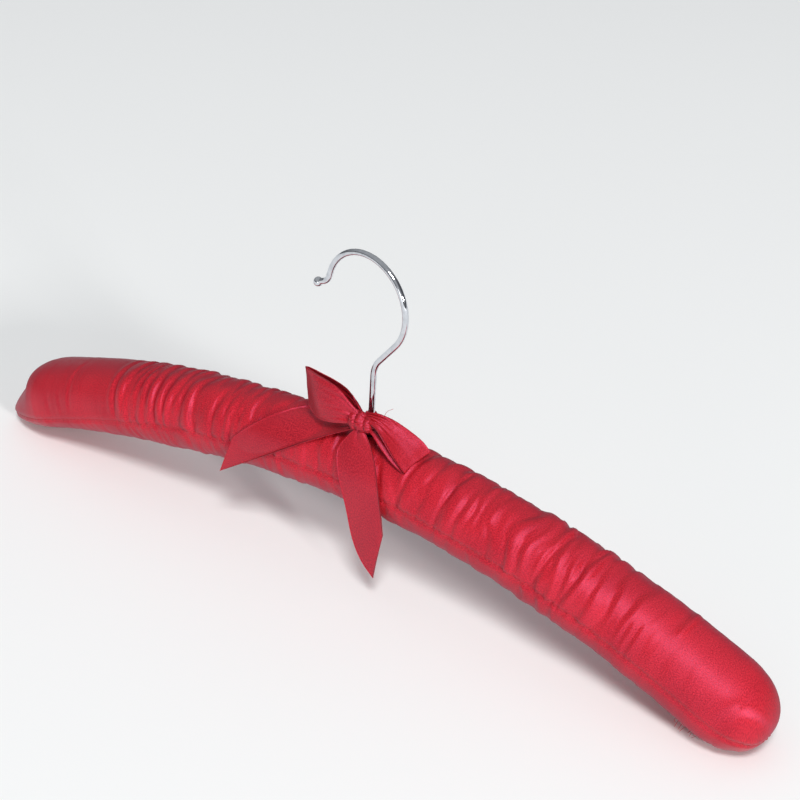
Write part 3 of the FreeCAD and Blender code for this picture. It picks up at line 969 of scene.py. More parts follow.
class Puckers:
    """The folds of one gathered sleeve as a height over its smooth surface."""

    MIDDLE = 0.55  # the folds' height that lies on the smooth surface
    NIP_PITCH = 2.1
    NIP_DEPTH = 0.55
    NIP_WIDTH = 2.6
    SEAM_SINK = 0.45
    SEAM_LIP = 0.18
    SWELL = 0.30
    SWELL_LENGTH = 21.0
    CREST = 84.0  # the angle, in degrees, round which the folds are calmer
    CREST_CALM = 0.4
    CREST_WIDTH = 30.0

    def __init__(self, gathers: Gathers) -> None:
        """Seeds the noise.

        Args:
            gathers: the sleeve's gathering.
        """
        self.gathers = gathers
        self.noise = SoftNoise(gathers.seed)

    def pleats(
        self,
        station: Array,
        angle: Array,
        pitch: float,
        layer: float,
        wander: float,
        lean: float = 0.0,
    ) -> Array:
        """Long folds that run round the arm, each with its own height, steep on one flank.

        Args:
            station: distances from the crown.
            angle: angles round the section, in radians.
            pitch: the mean distance from fold to fold.
            layer: a different number for each layer.
            wander: how far the folds stray, in folds.
            lean: how far a fold moves outwards from the front to the top, in folds.

        Returns:
            Heights from 0 in the valleys to about 1.
        """
        c, s = np.cos(angle), np.sin(angle)
        phase = station / pitch + 0.75 * self.noise.at(station / (2.6 * pitch), layer * 3.7, 0.5)
        along, close = station / (3.2 * pitch) + layer, station / (1.1 * pitch)
        phase = phase + wander * self.noise.at(along, 0.7 * c + layer, 0.7 * s)
        phase = phase + 0.10 * self.noise.at(close, 2.0 * c + layer, 2.0 * s) + lean * s
        number = np.floor(phase)
        share = phase - number
        rise = 0.30 + 0.16 * self.noise.at(number * 3.3, layer, 2.0)
        up = smooth_step(0.0, 1.0, np.clip(share / rise, 0.0, 1.0)) ** 0.8
        down = 1 - np.clip((share - rise) / (1 - rise), 0.0, 1.0) ** 1.7
        own = number * 5.17 + layer
        size = 0.62 + 0.85 * self.noise.at(own, 0.95 * c, 0.95 * s + number * 0.71)
        return np.minimum(up, down) * np.clip(size, 0.12, 1.1)

    def height(self, station: Array, angle: Array, from_seam: Array, under: Array) -> Array:
        """The folds' height.

        Args:
            station: distances from the crown.
            angle: angles round the section, in radians.
            from_seam: the distance over the surface from the nearer seam.
            under: 1 below the seams and 0 above them.

        Returns:
            Millimetres over the smooth surface.
        """
        g = self.gathers
        amount = g.amount(station)
        first = self.pleats(station, angle, g.pitch, 1.0, g.wander, 0.15)
        second = 0.85 * self.pleats(station, angle, g.pitch * 1.62, 2.0, g.wander * 0.8, -0.1)
        third = 0.42 * self.pleats(station, angle, g.pitch * 0.52, 3.0, g.wander * 1.4)
        folds = np.maximum(first, second)
        folds = folds + 0.5 * third * (1 - folds)
        height = g.depth * amount * (folds - self.MIDDLE)
        below = np.maximum(
            self.pleats(station, angle, g.pitch * 1.25, 4.0, 0.8),
            0.8 * self.pleats(station, angle, g.pitch * 0.8, 5.0, 0.8),
        )
        hanging = g.under_depth * (0.35 + 0.65 * amount) * (below - 0.5)
        height = height * (1 - under) + under * hanging
        nips = self.NIP_DEPTH * (self.pleats(station, angle, self.NIP_PITCH, 6.0, 0.3) - 0.5)
        height = height * (1 - 0.2 * bell(from_seam, 1.5))
        height = height + nips * (0.22 + 0.78 * amount) * bell(from_seam, self.NIP_WIDTH)
        height = height - self.SEAM_SINK * bell(from_seam, 0.8)
        height = height + self.SEAM_LIP * bell(from_seam - 2.2, 1.6)
        c, s = 1.1 * np.cos(angle), 1.1 * np.sin(angle)
        height = height + self.SWELL * self.noise.at(station / self.SWELL_LENGTH, c, s + 8.0)
        degrees = np.degrees(angle)
        height = height * (1 - self.CREST_CALM * bell(degrees - self.CREST, self.CREST_WIDTH))
        for crease in g.creases:
            height = height + crease.height(station, degrees)
        return height


@dataclass
class Sleeve:
    """One satin sleeve, sewn front and back and gathered over its padding."""

    side: Side
    gathers: Gathers
    form: ArmForm
    crown_depth: float
    pitch: float = 0.9
    top_columns: int = 60
    under_columns: int = 44
    seam_drop: float = 0.06
    seam_fall: float = 0.0
    wall: float = 1.75
    deepest: float = -1.5
    highest: float = 1.15
    end_lift: float = 0.0
    end_nose: float = 1.4
    nose_fall: float = 0.0
    end_trim: float = 0.0
    lift_span: tuple[float, float] = (105.0, 190.0)
    lift_levels: tuple[float, float] = (-0.2, -0.9)
    nose_width: float = 0.62
    trim_level: float = 0.55
    trim_width: float = 0.42
    fall_span: tuple[float, float] = (70.0, 195.0)
    lining_pitch: float = 9.0
    mean_radius: float = 18.0
    take_up: float = 1.25
    under_bow: float = 0.5
    bow_reach: float = 74.0
    bow_margin: float = 14.0
    knee_level: float = 0.6
    knee_slope: float = 0.4
    shank_room: float = 2.3
    fill: float = 0.85

    def __post_init__(self) -> None:
        """Lays out the rows and columns and raises the folds."""
        self.station, self.scale = self.form.rows(self.pitch)
        self.points, self.normals, self.weave = self._outer()

    @property
    def front_column(self) -> int:
        """The column that lies on the front seam."""
        return self.top_columns

    def _lay_out(self, rows: Array, scales: Array) -> tuple[Array, Array, Array]:
        """Spreads the columns round each row, with one on each seam.

        Args:
            rows: distances from the crown.
            scales: the section's scale at each.

        Returns:
            The station, scale and angle of every point.
        """
        drop = self.seam_drop + self.seam_fall * smooth_step(*self.fall_span, rows)[:, None]
        over = np.linspace(0.0, 1.0, self.top_columns, endpoint=False)[None, :]
        below = np.linspace(0.0, 1.0, self.under_columns, endpoint=False)[None, :]
        upper = -drop + (math.pi + 2 * drop) * over
        angle = np.hstack([upper, math.pi + drop + (math.pi - 2 * drop) * below])
        station = np.broadcast_to(rows[:, None], angle.shape)
        return station, np.broadcast_to(scales[:, None], angle.shape), angle

    def _outer(self) -> tuple[Array, Array, Array]:
        """The folded outside."""
        station, scale, angle = self._lay_out(self.station, self.scale)
        smooth = self.form.skin(self.side, station, scale, angle)
        steps = np.linalg.norm(np.roll(smooth, -1, axis=1) - smooth, axis=2)
        run = np.cumsum(steps, axis=1) - steps
        whole = steps.sum(axis=1, keepdims=True)
        to_front = np.abs(run - run[:, self.front_column][:, None])
        to_back = np.minimum(run, whole - run)
        from_seam = np.minimum(to_front, to_back)
        below = np.arange(angle.shape[1]) >= self.front_column
        under = smooth_step(-0.4, 0.8, np.where(below[None, :], from_seam, -from_seam))
        height = Puckers(self.gathers).height(station, angle, from_seam, under)
        free = smooth_step(self.bow_reach, self.bow_reach + self.bow_margin, station)
        ceiling = self.under_bow + (self.highest - self.under_bow) * free
        knee = ceiling * self.knee_level
        height = np.where(height > knee, knee + (height - knee) * self.knee_slope, height)
        height = np.clip(height, self.deepest, ceiling)
        fade = smooth_step(0.06, 0.5, scale)
        height = height * fade * (0.25 + 0.75 * smooth_step(0.0, 5.0, station))
        outward = grid_normals(smooth, ring=True) * -self.side.value
        points = self._shape_end(smooth, station, scale, angle) + outward * height[..., None]
        points = self.clear_shank(points, station)
        normals = grid_normals(points, ring=True) * -self.side.value
        weave = np.stack([station * self.take_up, run], axis=-1)
        return points, normals, weave

    def _shape_end(self, points: Array, station: Array, scale: Array, angle: Array) -> Array:
        """Raises the end's underside and draws the end out along the seam.

        Args:
            points: the smooth surface.
            station: distances from the crown.
            scale: the section's scale.
            angle: angles round the section.

        Returns:
            The reshaped surface.
        """
        level = np.sin(angle) * scale
        turn = self.side.value * station / self.form.radius
        upward = np.stack([np.sin(turn), 0 * turn, np.cos(turn)], axis=-1)
        onward = np.stack([np.cos(turn), 0 * turn, -np.sin(turn)], axis=-1) * self.side.value
        lift = self.end_lift * smooth_step(*self.lift_span, station)
        lift = lift * smooth_step(*self.lift_levels, level)
        cap, shoulder = smooth_step(1.0, 0.5, scale), smooth_step(1.0, 0.7, scale)
        nose = self.end_nose * cap * bell(level + self.nose_fall, self.nose_width)
        nose = nose - self.end_trim * shoulder * bell(level - self.trim_level, self.trim_width)
        return points + upward * lift[..., None] + onward * nose[..., None]

    def clear_shank(self, points: Array, station: Array) -> Array:
        """Draws the rim back round the hook's shank.

        Args:
            points: the sleeve's points.
            station: their distances from the crown.

        Returns:
            The points with a half round notch at the top of the rim.
        """
        y, top = points[..., 1], points[..., 2] > 0
        back = np.sqrt(np.maximum(self.shank_room**2 - y**2, 0.0)) * top
        moved = points.copy()
        moved[..., 0] += self.side.value * back * np.exp(-((station / 3.0) ** 2))
        return moved

    def build(self, finish: Material) -> Piece:
        """Makes the sleeve.

        Args:
            finish: its satin.

        Returns:
            The piece.
        """
        draft = MeshDraft()
        inside, flat = self.layer(self.lining_pitch, self.wall)
        draft.add_shell((self.points, inside), (self.weave, flat), self.side is Side.LEFT)
        piece = draft.build(f"sleeve_{self.side.word}", -self.crown_depth)
        settle(piece, Body.ARMS, "satin", finish, f"cover_{self.side.word}")
        return piece

    def layer(self, pitch: float, depth: float) -> tuple[Array, Array]:
        """A smooth layer inside the sleeve.

        Args:
            pitch: the distance from row to row.
            depth: how far it lies inside the sleeve's smooth shape.

        Returns:
            Its points and their places on flat cloth.
        """
        station, scale, angle = self._lay_out(*self.form.rows(pitch, -depth))
        points = self.form.skin(self.side, station, scale, angle, -depth)
        points = self.clear_shank(self._shape_end(points, station, scale, angle), station)
        return points, np.stack([station, angle * self.mean_radius], axis=-1)

    def seam(self) -> tuple[Array, Array]:
        """The seam's line from the crown's front round the tip to its back, with its normals."""
        front, back = self.points[:, self.front_column], self.points[::-1, 0]
        front_up, back_up = self.normals[:, self.front_column], self.normals[::-1, 0]
        return np.vstack([front, back]), np.vstack([front_up, back_up])


@dataclass
class Wadding:
    """The padding of one arm, wrapped round the wooden bar."""

    sleeve: Sleeve
    depth: float = 2.0
    bar_half_height: float = 10.6
    bar_half_thickness: float = 7.6
    bar_end: float = 195.0
    mean_radius: float = 9.0
    corner_power: float = 12.0
    lumps: float = 0.28
    lump_size: float = 7.0
    pitch: float = 3.0
    tunnel_rows: int = 24
    seed: int = 51
    fill: float = 0.9

    def _tunnel(self) -> tuple[Array, Array]:
        """The hollow that the bar fills, with its places on flat cloth."""
        rows = np.linspace(0.0, self.bar_end, self.tunnel_rows)
        turns = full_turn(self.sleeve.top_columns + self.sleeve.under_columns)
        station, angle = np.meshgrid(rows, turns, indexing="ij")
        c, s, p = np.cos(angle), np.sin(angle), self.corner_power
        reach = (np.abs(c) ** p + np.abs(s) ** p) ** (-1 / p)
        up, back = self.bar_half_height * reach * s, self.bar_half_thickness * reach * c
        points = self.sleeve.form.place(self.sleeve.side, station, up, back)
        flat = np.stack([station, angle * self.mean_radius], axis=-1)
        return self.sleeve.clear_shank(points, station), flat

    def build(self, finish: Material) -> Piece:
        """Makes the padding.

        Args:
            finish: its wadding.

        Returns:
            The piece.
        """
        side = self.sleeve.side
        points, flat = self.sleeve.layer(self.pitch, self.depth)
        lumps = SoftNoise(self.seed).at(*(points[..., k] / self.lump_size for k in range(3)))
        up = grid_normals(points, ring=True) * -side.value
        points = points - up * (self.lumps * (0.5 + 0.5 * lumps))[..., None]
        hollow, hollow_flat = self._tunnel()
        draft = MeshDraft()
        draft.add_shell((points, hollow), (flat, hollow_flat), side is Side.LEFT)
        piece = draft.build(f"wadding_{side.word}", -self.sleeve.crown_depth)
        settle(piece, Body.ARMS, "padding", finish, f"foam_{side.word}")
        return piece


@dataclass
class Stitching:
    """Rows of single stitches along a line on a sleeve."""

    crown_depth: float
    stitch: float = 1.7
    gap: float = 0.85
    thickness: float = 0.18
    sink: float = 0.02
    sides: int = 7
    steps: int = 7
    arch: float = 0.17
    dip: float = 0.05
    join_count: int = 44
    join_reach: float = 1.3
    join_arch: float = 0.3
    join_dip: float = 0.1
    join_gap: float = 2.9
    join_lean: float = 0.02
    fray_seed: int = 11
    fray_stations: tuple[float, ...] = (174.5, 176.0, 178.5, 180.0, 182.5, 184.0, 186.0)
    fray_columns: int = 12

    def sew(self, draft: MeshDraft, line: Array, up: Array, skip: float = 0.0) -> None:
        """Adds the stitches.

        Args:
            draft: where they go.
            line: the seam.
            up: the surface's normals along it.
            skip: the length left bare at each end.
        """
        run = run_along(line)
        rise = np.sin(np.linspace(0.0, math.pi, self.steps))
        arch = rise * self.arch - self.dip + self.sink
        radii = self.thickness * (0.55 + 0.45 * rise)
        start = skip
        while start + self.stitch < run[-1] - skip:
            along = np.linspace(start, start + self.stitch, self.steps)
            lift = unit(read_line(up, run, along))
            place = read_line(line, run, along) + lift * arch[:, None]
            add_tube(draft, place, radii, self.sides)
            start += self.stitch + self.gap

    def build_seam(self, sleeve: Sleeve, finish: Material) -> Piece:
        """The long seam of one sleeve."""
        draft = MeshDraft()
        self.sew(draft, *sleeve.seam(), skip=1.4)
        piece = draft.build(f"seam_{sleeve.side.word}", -self.crown_depth)
        settle(piece, Body.ARMS, "thread", finish, f"seam_thread_{sleeve.side.word}")
        return piece

    def build_join(self, form: ArmForm, finish: Material) -> Piece:
        """The slanting stitches that draw the two sleeves together at the crown.

        Args:
            form: the arms' shape.
            finish: the thread.

        Returns:
            The piece.
        """
        draft = MeshDraft()
        spread = np.linspace(-self.join_reach, self.join_reach, self.steps)
        rise = np.sin(np.linspace(0.0, math.pi, self.steps))
        arch = rise * self.join_arch - self.join_dip
        radii = np.full(self.steps, self.thickness)
        for angle in full_turn(self.join_count):
            turns = angle + spread * self.join_lean
            points = form.skin(Side.RIGHT, spread, np.ones(self.steps), turns, self.sink)
            middle = points[self.steps // 2]
            if abs(middle[1]) < self.join_gap and middle[2] > 0:
                continue
            outward = unit(points * np.array([0.0, 1.0, 1.0]))
            add_tube(draft, points + outward * arch[:, None], radii, self.sides)
        piece = draft.build("centre_join", -self.crown_depth)
        settle(piece, Body.ARMS, "thread", finish, "centre_join_thread")
        return piece

    def build_fray(self, sleeve: Sleeve, finish: Material) -> Piece:
        """Loose hairs of cloth under one sleeve's seam near its tip.

        Args:
            sleeve: the sleeve.
            finish: the thread.

        Returns:
            The piece.
        """
        draft = MeshDraft()
        maker = np.random.default_rng(self.fray_seed)
        for station in self.fray_stations:
            row = int(np.argmin(np.abs(sleeve.station - station)))
            column = sleeve.front_column + self.fray_columns + int(maker.integers(0, 5))
            start, up = sleeve.points[row, column], sleeve.normals[row, column]
            drift = maker.normal(size=3) * 0.5 + np.array([-0.2, -0.5, -0.6])
            length = 1.6 + 1.8 * maker.random()
            bend = maker.normal(size=3) * 0.35
            line = spline(
                [
                    tuple(start - up * 0.3),
                    tuple(start + (up * 0.5 + drift * 0.3) * length * 0.5),
                    tuple(start + (up * 0.6 + drift * 0.7) * length + bend),
                ],
                9,
            )
            add_tube(draft, line, np.linspace(0.11, 0.07, 9), 5)
        piece = draft.build("frayed_hairs", -self.crown_depth)
        settle(piece, Body.ARMS, "thread", finish)
        return piece


# --- the hook -------------------------------------------------------------------------------------


@dataclass(frozen=True)
class Hook:
    """The wire hook: shank, neck, loop, flicked tip with a ball, and the head inside the bar."""

    wire: float = 2.8
    loop_radius: float = 22.2
    loop_offset: float = 6.1
    neck_slope: float = math.radians(52.0)
    neck_radius: float = 13.0
    mouth: float = math.radians(169.0)
    flick_radius: float = 6.0
    flick_slope: float = math.radians(27.0)
    tip_length: float = 3.8
    ball: float = 4.3
    head: float = 5.2
    head_thickness: float = 1.7
    head_rim: float = 0.25
    head_base: float = -107.785
    turned: float = math.radians(-8.0)
    sides: int = 40

    def path(self) -> Array:
        """The wire's centreline in its own plane, from the shank's foot to the ball's middle."""
        rise = math.sqrt((self.loop_radius - self.wire / 2) ** 2 - self.loop_offset**2)
        centre = np.array([-self.loop_offset, -rise])
        leave = self.neck_slope - math.pi / 2
        on_loop = centre + self.loop_radius * np.array([math.cos(leave), math.sin(leave)])
        along = np.array([math.cos(self.neck_slope), math.sin(self.neck_slope)])
        run_side = np.array([math.sin(self.neck_slope), -math.cos(self.neck_slope)])
        run = (on_loop[0] + run_side[0] * self.neck_radius - self.neck_radius) / along[0]
        neck = on_loop - along * run + run_side * self.neck_radius
        mouth = np.array([math.cos(self.mouth), math.sin(self.mouth)])
        flick = centre + mouth * (self.loop_radius + self.flick_radius)
        down = self.flick_slope
        flick_end = flick + self.flick_radius * np.array([math.sin(down), -math.cos(down)])
        ball = flick_end + self.tip_length * np.array([-math.cos(down), -math.sin(down)])

        def arc(middle: Array, radius: float, start: float, end: float, count: int) -> Array:
            """Points round an arc."""
            turns = np.linspace(start, end, count)
            return middle + radius * np.stack([np.cos(turns), np.sin(turns)], axis=1)

        start = math.atan2(*(flick_end - flick)[::-1])
        end = math.atan2(*(-mouth)[::-1])
        parts = [
            np.linspace([0.0, self.head_base], [0.0, neck[1]], 60),
            arc(neck, self.neck_radius, math.pi, math.pi / 2 + self.neck_slope, 20)[1:],
            np.linspace(neck - run_side * self.neck_radius, on_loop, 16)[1:],
            arc(centre, self.loop_radius, leave, self.mouth, 150)[1:],
            arc(flick, self.flick_radius, end, start, 24)[1:],
            np.linspace(flick_end, ball, 8)[1:],
        ]
        flat = np.vstack(parts)
        return np.stack([flat[:, 0], np.zeros(len(flat)), flat[:, 1]], axis=1)

    def build(self, finish: Material) -> Piece:
        """Makes the hook as one skin.

        Args:
            finish: its chrome.

        Returns:
            The piece.
        """
        line = self.path()
        wire, ball, head = self.wire / 2, self.ball / 2, self.head / 2
        run = run_along(line)
        last = unit(line[-1] - line[-2])
        turns = np.linspace(math.pi - math.asin(wire / ball), 0.02, 26)
        ball_line = line[-1] + np.outer(np.cos(turns + math.pi) * -ball, last)
        ball_radii = ball * np.sin(turns)
        neck_at = ball * math.cos(math.asin(wire / ball))
        rim, top = self.head_rim, self.head_thickness
        chamfer = rim * 0.3
        foot_runs = np.array([0.0, 0.0, chamfer, rim, top - rim, top - chamfer, top, top])
        foot_radii = np.array(
            [head * 0.5, head - rim, head - chamfer, head, head, head - chamfer, head - rim, wire]
        )
        foot_line = np.outer(self.head_base + foot_runs, [0.0, 0.0, 1.0])
        above = (run < run[-1] - neck_at - 0.05) & (run > top + 0.2)
        whole = np.vstack([foot_line, line[above], ball_line])
        radii = np.concatenate([foot_radii, np.full(int(above.sum()), wire), ball_radii])
        draft = MeshDraft()
        self._sweep(draft, whole, radii, line[above], last, len(foot_line))
        piece = draft.build("wire_hook")
        piece.data.transform(Matrix.Rotation(self.turned, 4, "Z"))
        settle(piece, Body.HOOK, "hook_chrome", finish, "hook_wire")
        return piece

    def _sweep(
        self,
        draft: MeshDraft,
        line: Array,
        radii: Array,
        middle: Array,
        last: Array,
        foot: int,
    ) -> None:
        """Lofts circles square to the wire, which lies in one plane.

        Args:
            draft: where they go.
            line: the circles' centres.
            radii: their radii.
            middle: the plain wire's own points.
            last: the wire's direction at the ball.
            foot: how many circles the head has.
        """
        count = len(middle)
        tangents = np.zeros_like(line)
        tangents[:foot] = (0.0, 0.0, 1.0)
        tangents[foot : foot + count] = unit(np.gradient(middle, axis=0))
        tangents[foot + count :] = last
        side = np.array([0.0, 1.0, 0.0])
        turns = full_turn(self.sides)
        c, s = np.cos(turns), np.sin(turns)
        circles = [np.outer(c, side) + np.outer(s, np.cross(t, side)) for t in tangents]
        rings = line[:, None] + radii[:, None, None] * np.array(circles)
        around = turns * self.wire / 2
        weave = np.stack(np.meshgrid(run_along(line), around, indexing="ij"), axis=-1)
        index = draft.add_grid(rings, weave, ring=True, flip=True)
        draft.add_cap(index[0], line[0], weave[0, 0])
        draft.add_cap(index[-1], line[-1] + last * 0.001, weave[-1, 0], flip=True)


# --- the bow --------------------------------------------------------------------------------------


@dataclass(frozen=True)
class RibbonRun:
    """A stretch of ribbon between two edge lines, in millimetres from the middle of the crown."""

    name: str
    node: str
    first_edge: tuple[Point, ...]
    second_edge: tuple[Point, ...]
    flat: tuple[float, float]
    held: str
    rests_on: tuple[str, ...]
    crown: float = 0.0
    pleats: float = 3.0
    pleat_depth: float = 0.7
    gather: tuple[float, ...] = (0.0,)
    gather_reach: float = 0.28
    thickness: float = 0.34
    selvedge: float = 0.12
    clear_gap: float | None = None
    seed: int = 5
    cross: int = 30
    long: int = 90
    area: float | None = None
    doubled: float | None = None

    SOFT_DEPTH = 0.22
    EDGE_SHARE = 0.06
    FOLD_WIDTH = 0.1
    FULL_CROWN_WIDTH = 12.0


@dataclass
class Bow:
    """The bow at the hook's foot: two loops, two tails, the knot and the turn round the shank."""

    form: ArmForm
    crown_depth: float
    sleeve_pieces: tuple[str, ...]
    knot_middle: Point = (0.0, -7.5, 27.0)
    knot_size: Point = (13.0, 8.4, 9.2)
    knot_pinch: float = 0.16
    knot_pleat: float = 4.3
    knot_seed: int = 31
    tie_inside: float = 1.8
    tie_outside: float = 3.5
    tie_low: float = 17.9
    tie_high: float = 27.4
    tie_fold: float = 0.75
    tie_wall: float = 0.45
    tie_seed: int = 41
    thread_route: tuple[Point, ...] = (
        (7.6, -5.4, 30.0),
        (9.8, -5.2, 32.0),
        (11.2, -5.0, 35.2),
        (14.3, -5.0, 38.0),
    )

    def runs(self) -> list[RibbonRun]:
        """The loops and tails."""
        loop: dict[str, object] = dict(
            held="gathered",
            rests_on=("knot",),
            pleats=4.0,
            pleat_depth=1.7,
            gather=(0.0, 1.0),
            gather_reach=0.22,
            doubled=0.5,
            cross=36,
            long=130,
        )
        return [
            RibbonRun(
                "loop_left",
                "bow_loop_left",
                (
                    (-0.5, -8.6, 30.4),
                    (-4.9, -9.6, 35.2),
                    (-9.6, -9.8, 39.4),
                    (-16.0, -9.5, 41.6),
                    (-23.5, -8.4, 41.9),
                    (-30.2, -6.6, 41.8),
                    (-31.5, -5.4, 41.4),
                    (-29.8, -4.6, 41.0),
                    (-24.4, -4.5, 40.4),
                    (-17.0, -4.3, 39.4),
                    (-9.5, -4.3, 37.6),
                    (-4.7, -4.6, 34.4),
                    (-1.0, -5.2, 30.6),
                ),
                (
                    (-0.5, -8.8, 26.2),
                    (-4.0, -10.0, 26.0),
                    (-8.5, -10.7, 24.6),
                    (-14.5, -10.7, 22.7),
                    (-20.5, -9.9, 21.5),
                    (-25.5, -8.4, 22.5),
                    (-28.4, -6.8, 24.0),
                    (-27.2, -5.2, 23.8),
                    (-21.0, -4.4, 22.9),
                    (-14.0, -4.2, 23.3),
                    (-8.0, -4.3, 24.3),
                    (-3.6, -4.8, 25.6),
                    (-1.0, -5.4, 26.2),
                ),
                flat=(RIBBON_WIDTH, 68.0),
                crown=2.2,
                seed=21,
                **loop,
            ),
            RibbonRun(
                "loop_right",
                "bow_loop_right",
                (
                    (1.0, -5.4, 30.8),
                    (6.0, -5.0, 32.0),
                    (11.4, -3.4, 31.6),
                    (15.8, -1.5, 29.6),
                    (21.4, 0.5, 26.1),
                    (25.6, 2.0, 22.8),
                    (28.8, 2.6, 19.4),
                    (29.2, 2.6, 18.3),
                    (27.6, 2.3, 18.1),
                    (21.5, 1.5, 19.4),
                    (14.0, 0.0, 20.6),
                    (7.5, -2.8, 22.4),
                    (2.0, -5.6, 25.0),
                ),
                (
                    (1.0, -9.4, 28.2),
                    (5.2, -9.9, 29.8),
                    (9.4, -10.7, 29.4),
                    (13.4, -11.7, 27.0),
                    (17.6, -12.5, 23.2),
                    (21.8, -12.7, 19.0),
                    (25.6, -12.5, 15.2),
                    (26.2, -12.3, 14.0),
                    (24.6, -12.1, 13.9),
                    (19.0, -12.0, 16.8),
                    (12.6, -11.2, 21.2),
                    (7.2, -10.2, 25.0),
                    (2.0, -9.2, 25.8),
                ),
                flat=(RIBBON_WIDTH, 57.0),
                crown=2.0,
                clear_gap=0.75,
                seed=22,
                **loop,
            ),
            RibbonRun(
                "tail_left",
                "bow_tail_left",
                (
                    (-0.5, -7.4, 26.4),
                    (-6.0, -5.2, 24.4),
                    (-14.0, -1.8, 21.4),
                    (-24.0, 0.6, 19.0),
                    (-33.8, 0.4, 18.0),
                    (-43.0, -8.8, 15.2),
                    (-52.4, -15.4, 8.4),
                    (-61.0, -18.4, -0.5),
                ),
                (
                    (-0.5, -8.6, 24.6),
                    (-5.0, -9.6, 21.6),
                    (-12.0, -11.0, 17.4),
                    (-22.6, -15.2, 11.2),
                    (-32.8, -17.6, 4.3),
                    (-44.9, -18.3, -4.7),
                    (-56.8, -18.6, -13.4),
                    (-68.2, -18.5, -21.9),
                ),
                flat=(RIBBON_WIDTH, 78.0),
                held="laid",
                rests_on=self.sleeve_pieces[:1],
                crown=0.2,
                pleats=2.0,
                pleat_depth=0.7,
                gather_reach=0.22,
                clear_gap=0.8,
                seed=23,
                area=0.00137,
            ),
            RibbonRun(
                "tail_centre",
                "bow_tail_centre",
                (
                    (-1.0, -8.6, 24.4),
                    (-4.6, -11.0, 19.0),
                    (-6.9, -14.2, 13.0),
                    (-3.6, -17.6, 4.0),
                    (1.2, -18.3, -10.0),
                    (5.6, -18.3, -25.0),
                    (11.0, -18.2, -35.0),
                    (17.6, -18.0, -41.8),
                ),
                (
                    (1.5, -8.6, 24.4),
                    (7.6, -11.0, 19.6),
                    (12.8, -14.2, 13.2),
                    (16.6, -17.0, 5.6),
                    (18.8, -18.0, -2.6),
                    (20.2, -18.2, -8.6),
                    (21.0, -18.3, -13.0),
                    (21.6, -18.3, -17.0),
                ),
                flat=(RIBBON_WIDTH, 74.0),
                held="hung",
                rests_on=self.sleeve_pieces,
                crown=0.35,
                pleats=1.5,
                pleat_depth=0.6,
                gather_reach=0.26,
                clear_gap=0.8,
                seed=24,
                area=0.00125,
            ),
        ]

    def lay(self, run: RibbonRun, finish: Material) -> Piece:
        """Makes one stretch of ribbon as a thin closed sheet.

        Args:
            run: the stretch.
            finish: its satin.

        Returns:
            The piece.
        """
        first, second = spline_pair(run.first_edge, run.second_edge, run.long)
        across = np.linspace(0.0, 1.0, run.cross)
        share = across[None, :, None]
        middle = first[:, None] * (1 - share) + second[:, None] * share
        up = grid_normals(middle)
        along = np.linspace(0.0, 1.0, run.long)[:, None]
        width = np.linalg.norm(second - first, axis=1)[:, None]
        near = np.zeros((run.long, 1))
        for end in run.gather:
            near = np.maximum(near, bell(along - end, run.gather_reach))
        noise = SoftNoise(run.seed)
        spread = across[None, :] * run.pleats
        fold = np.abs(noise.at(spread * 1.3 + 3.0, along * 2.2, 0.5)) * 2.4
        fold = np.minimum(fold, 1.0) ** 0.8 - 0.5
        soft = noise.at(spread * 0.7, along * 4.0, 4.0)
        height = run.pleat_depth * near * fold + run.SOFT_DEPTH * soft * (1 - near)
        if run.doubled is not None:
            near = np.maximum(near, bell(along - run.doubled, run.FOLD_WIDTH))
        arch = 1 - (2 * across[None, :] - 1) ** 2
        wide = np.minimum(1.0, width / run.FULL_CROWN_WIDTH)
        height = height + run.crown * arch * wide * (1 - near)
        points = middle + up * height[..., None]
        if run.clear_gap is not None:
            points = self.form.clear(points, run.clear_gap)
        up = grid_normals(points)
        rim = smooth_step(run.EDGE_SHARE, 0.0, np.minimum(across, 1 - across))[None, :]
        half = (run.thickness / 2) * (1 + run.selvedge * 4 * rim)
        length = run_along(points.mean(axis=1))
        flat = np.stack(np.meshgrid(length, across * RIBBON_WIDTH, indexing="ij"), axis=-1)
        draft = MeshDraft()
        front = draft.add_grid(points + up * half[..., None], flat)
        back = draft.add_grid(points - up * half[..., None], flat, flip=True)
        draft.add_bridge(front[0], back[0], ring=False)
        draft.add_bridge(back[-1], front[-1], ring=False)
        draft.add_bridge(back[:, 0], front[:, 0], ring=False)
        draft.add_bridge(front[:, -1], back[:, -1], ring=False)
        piece = draft.build(run.name, -self.crown_depth)
        settle(piece, Body.ARMS, "ribbon", finish, run.node)
        return piece

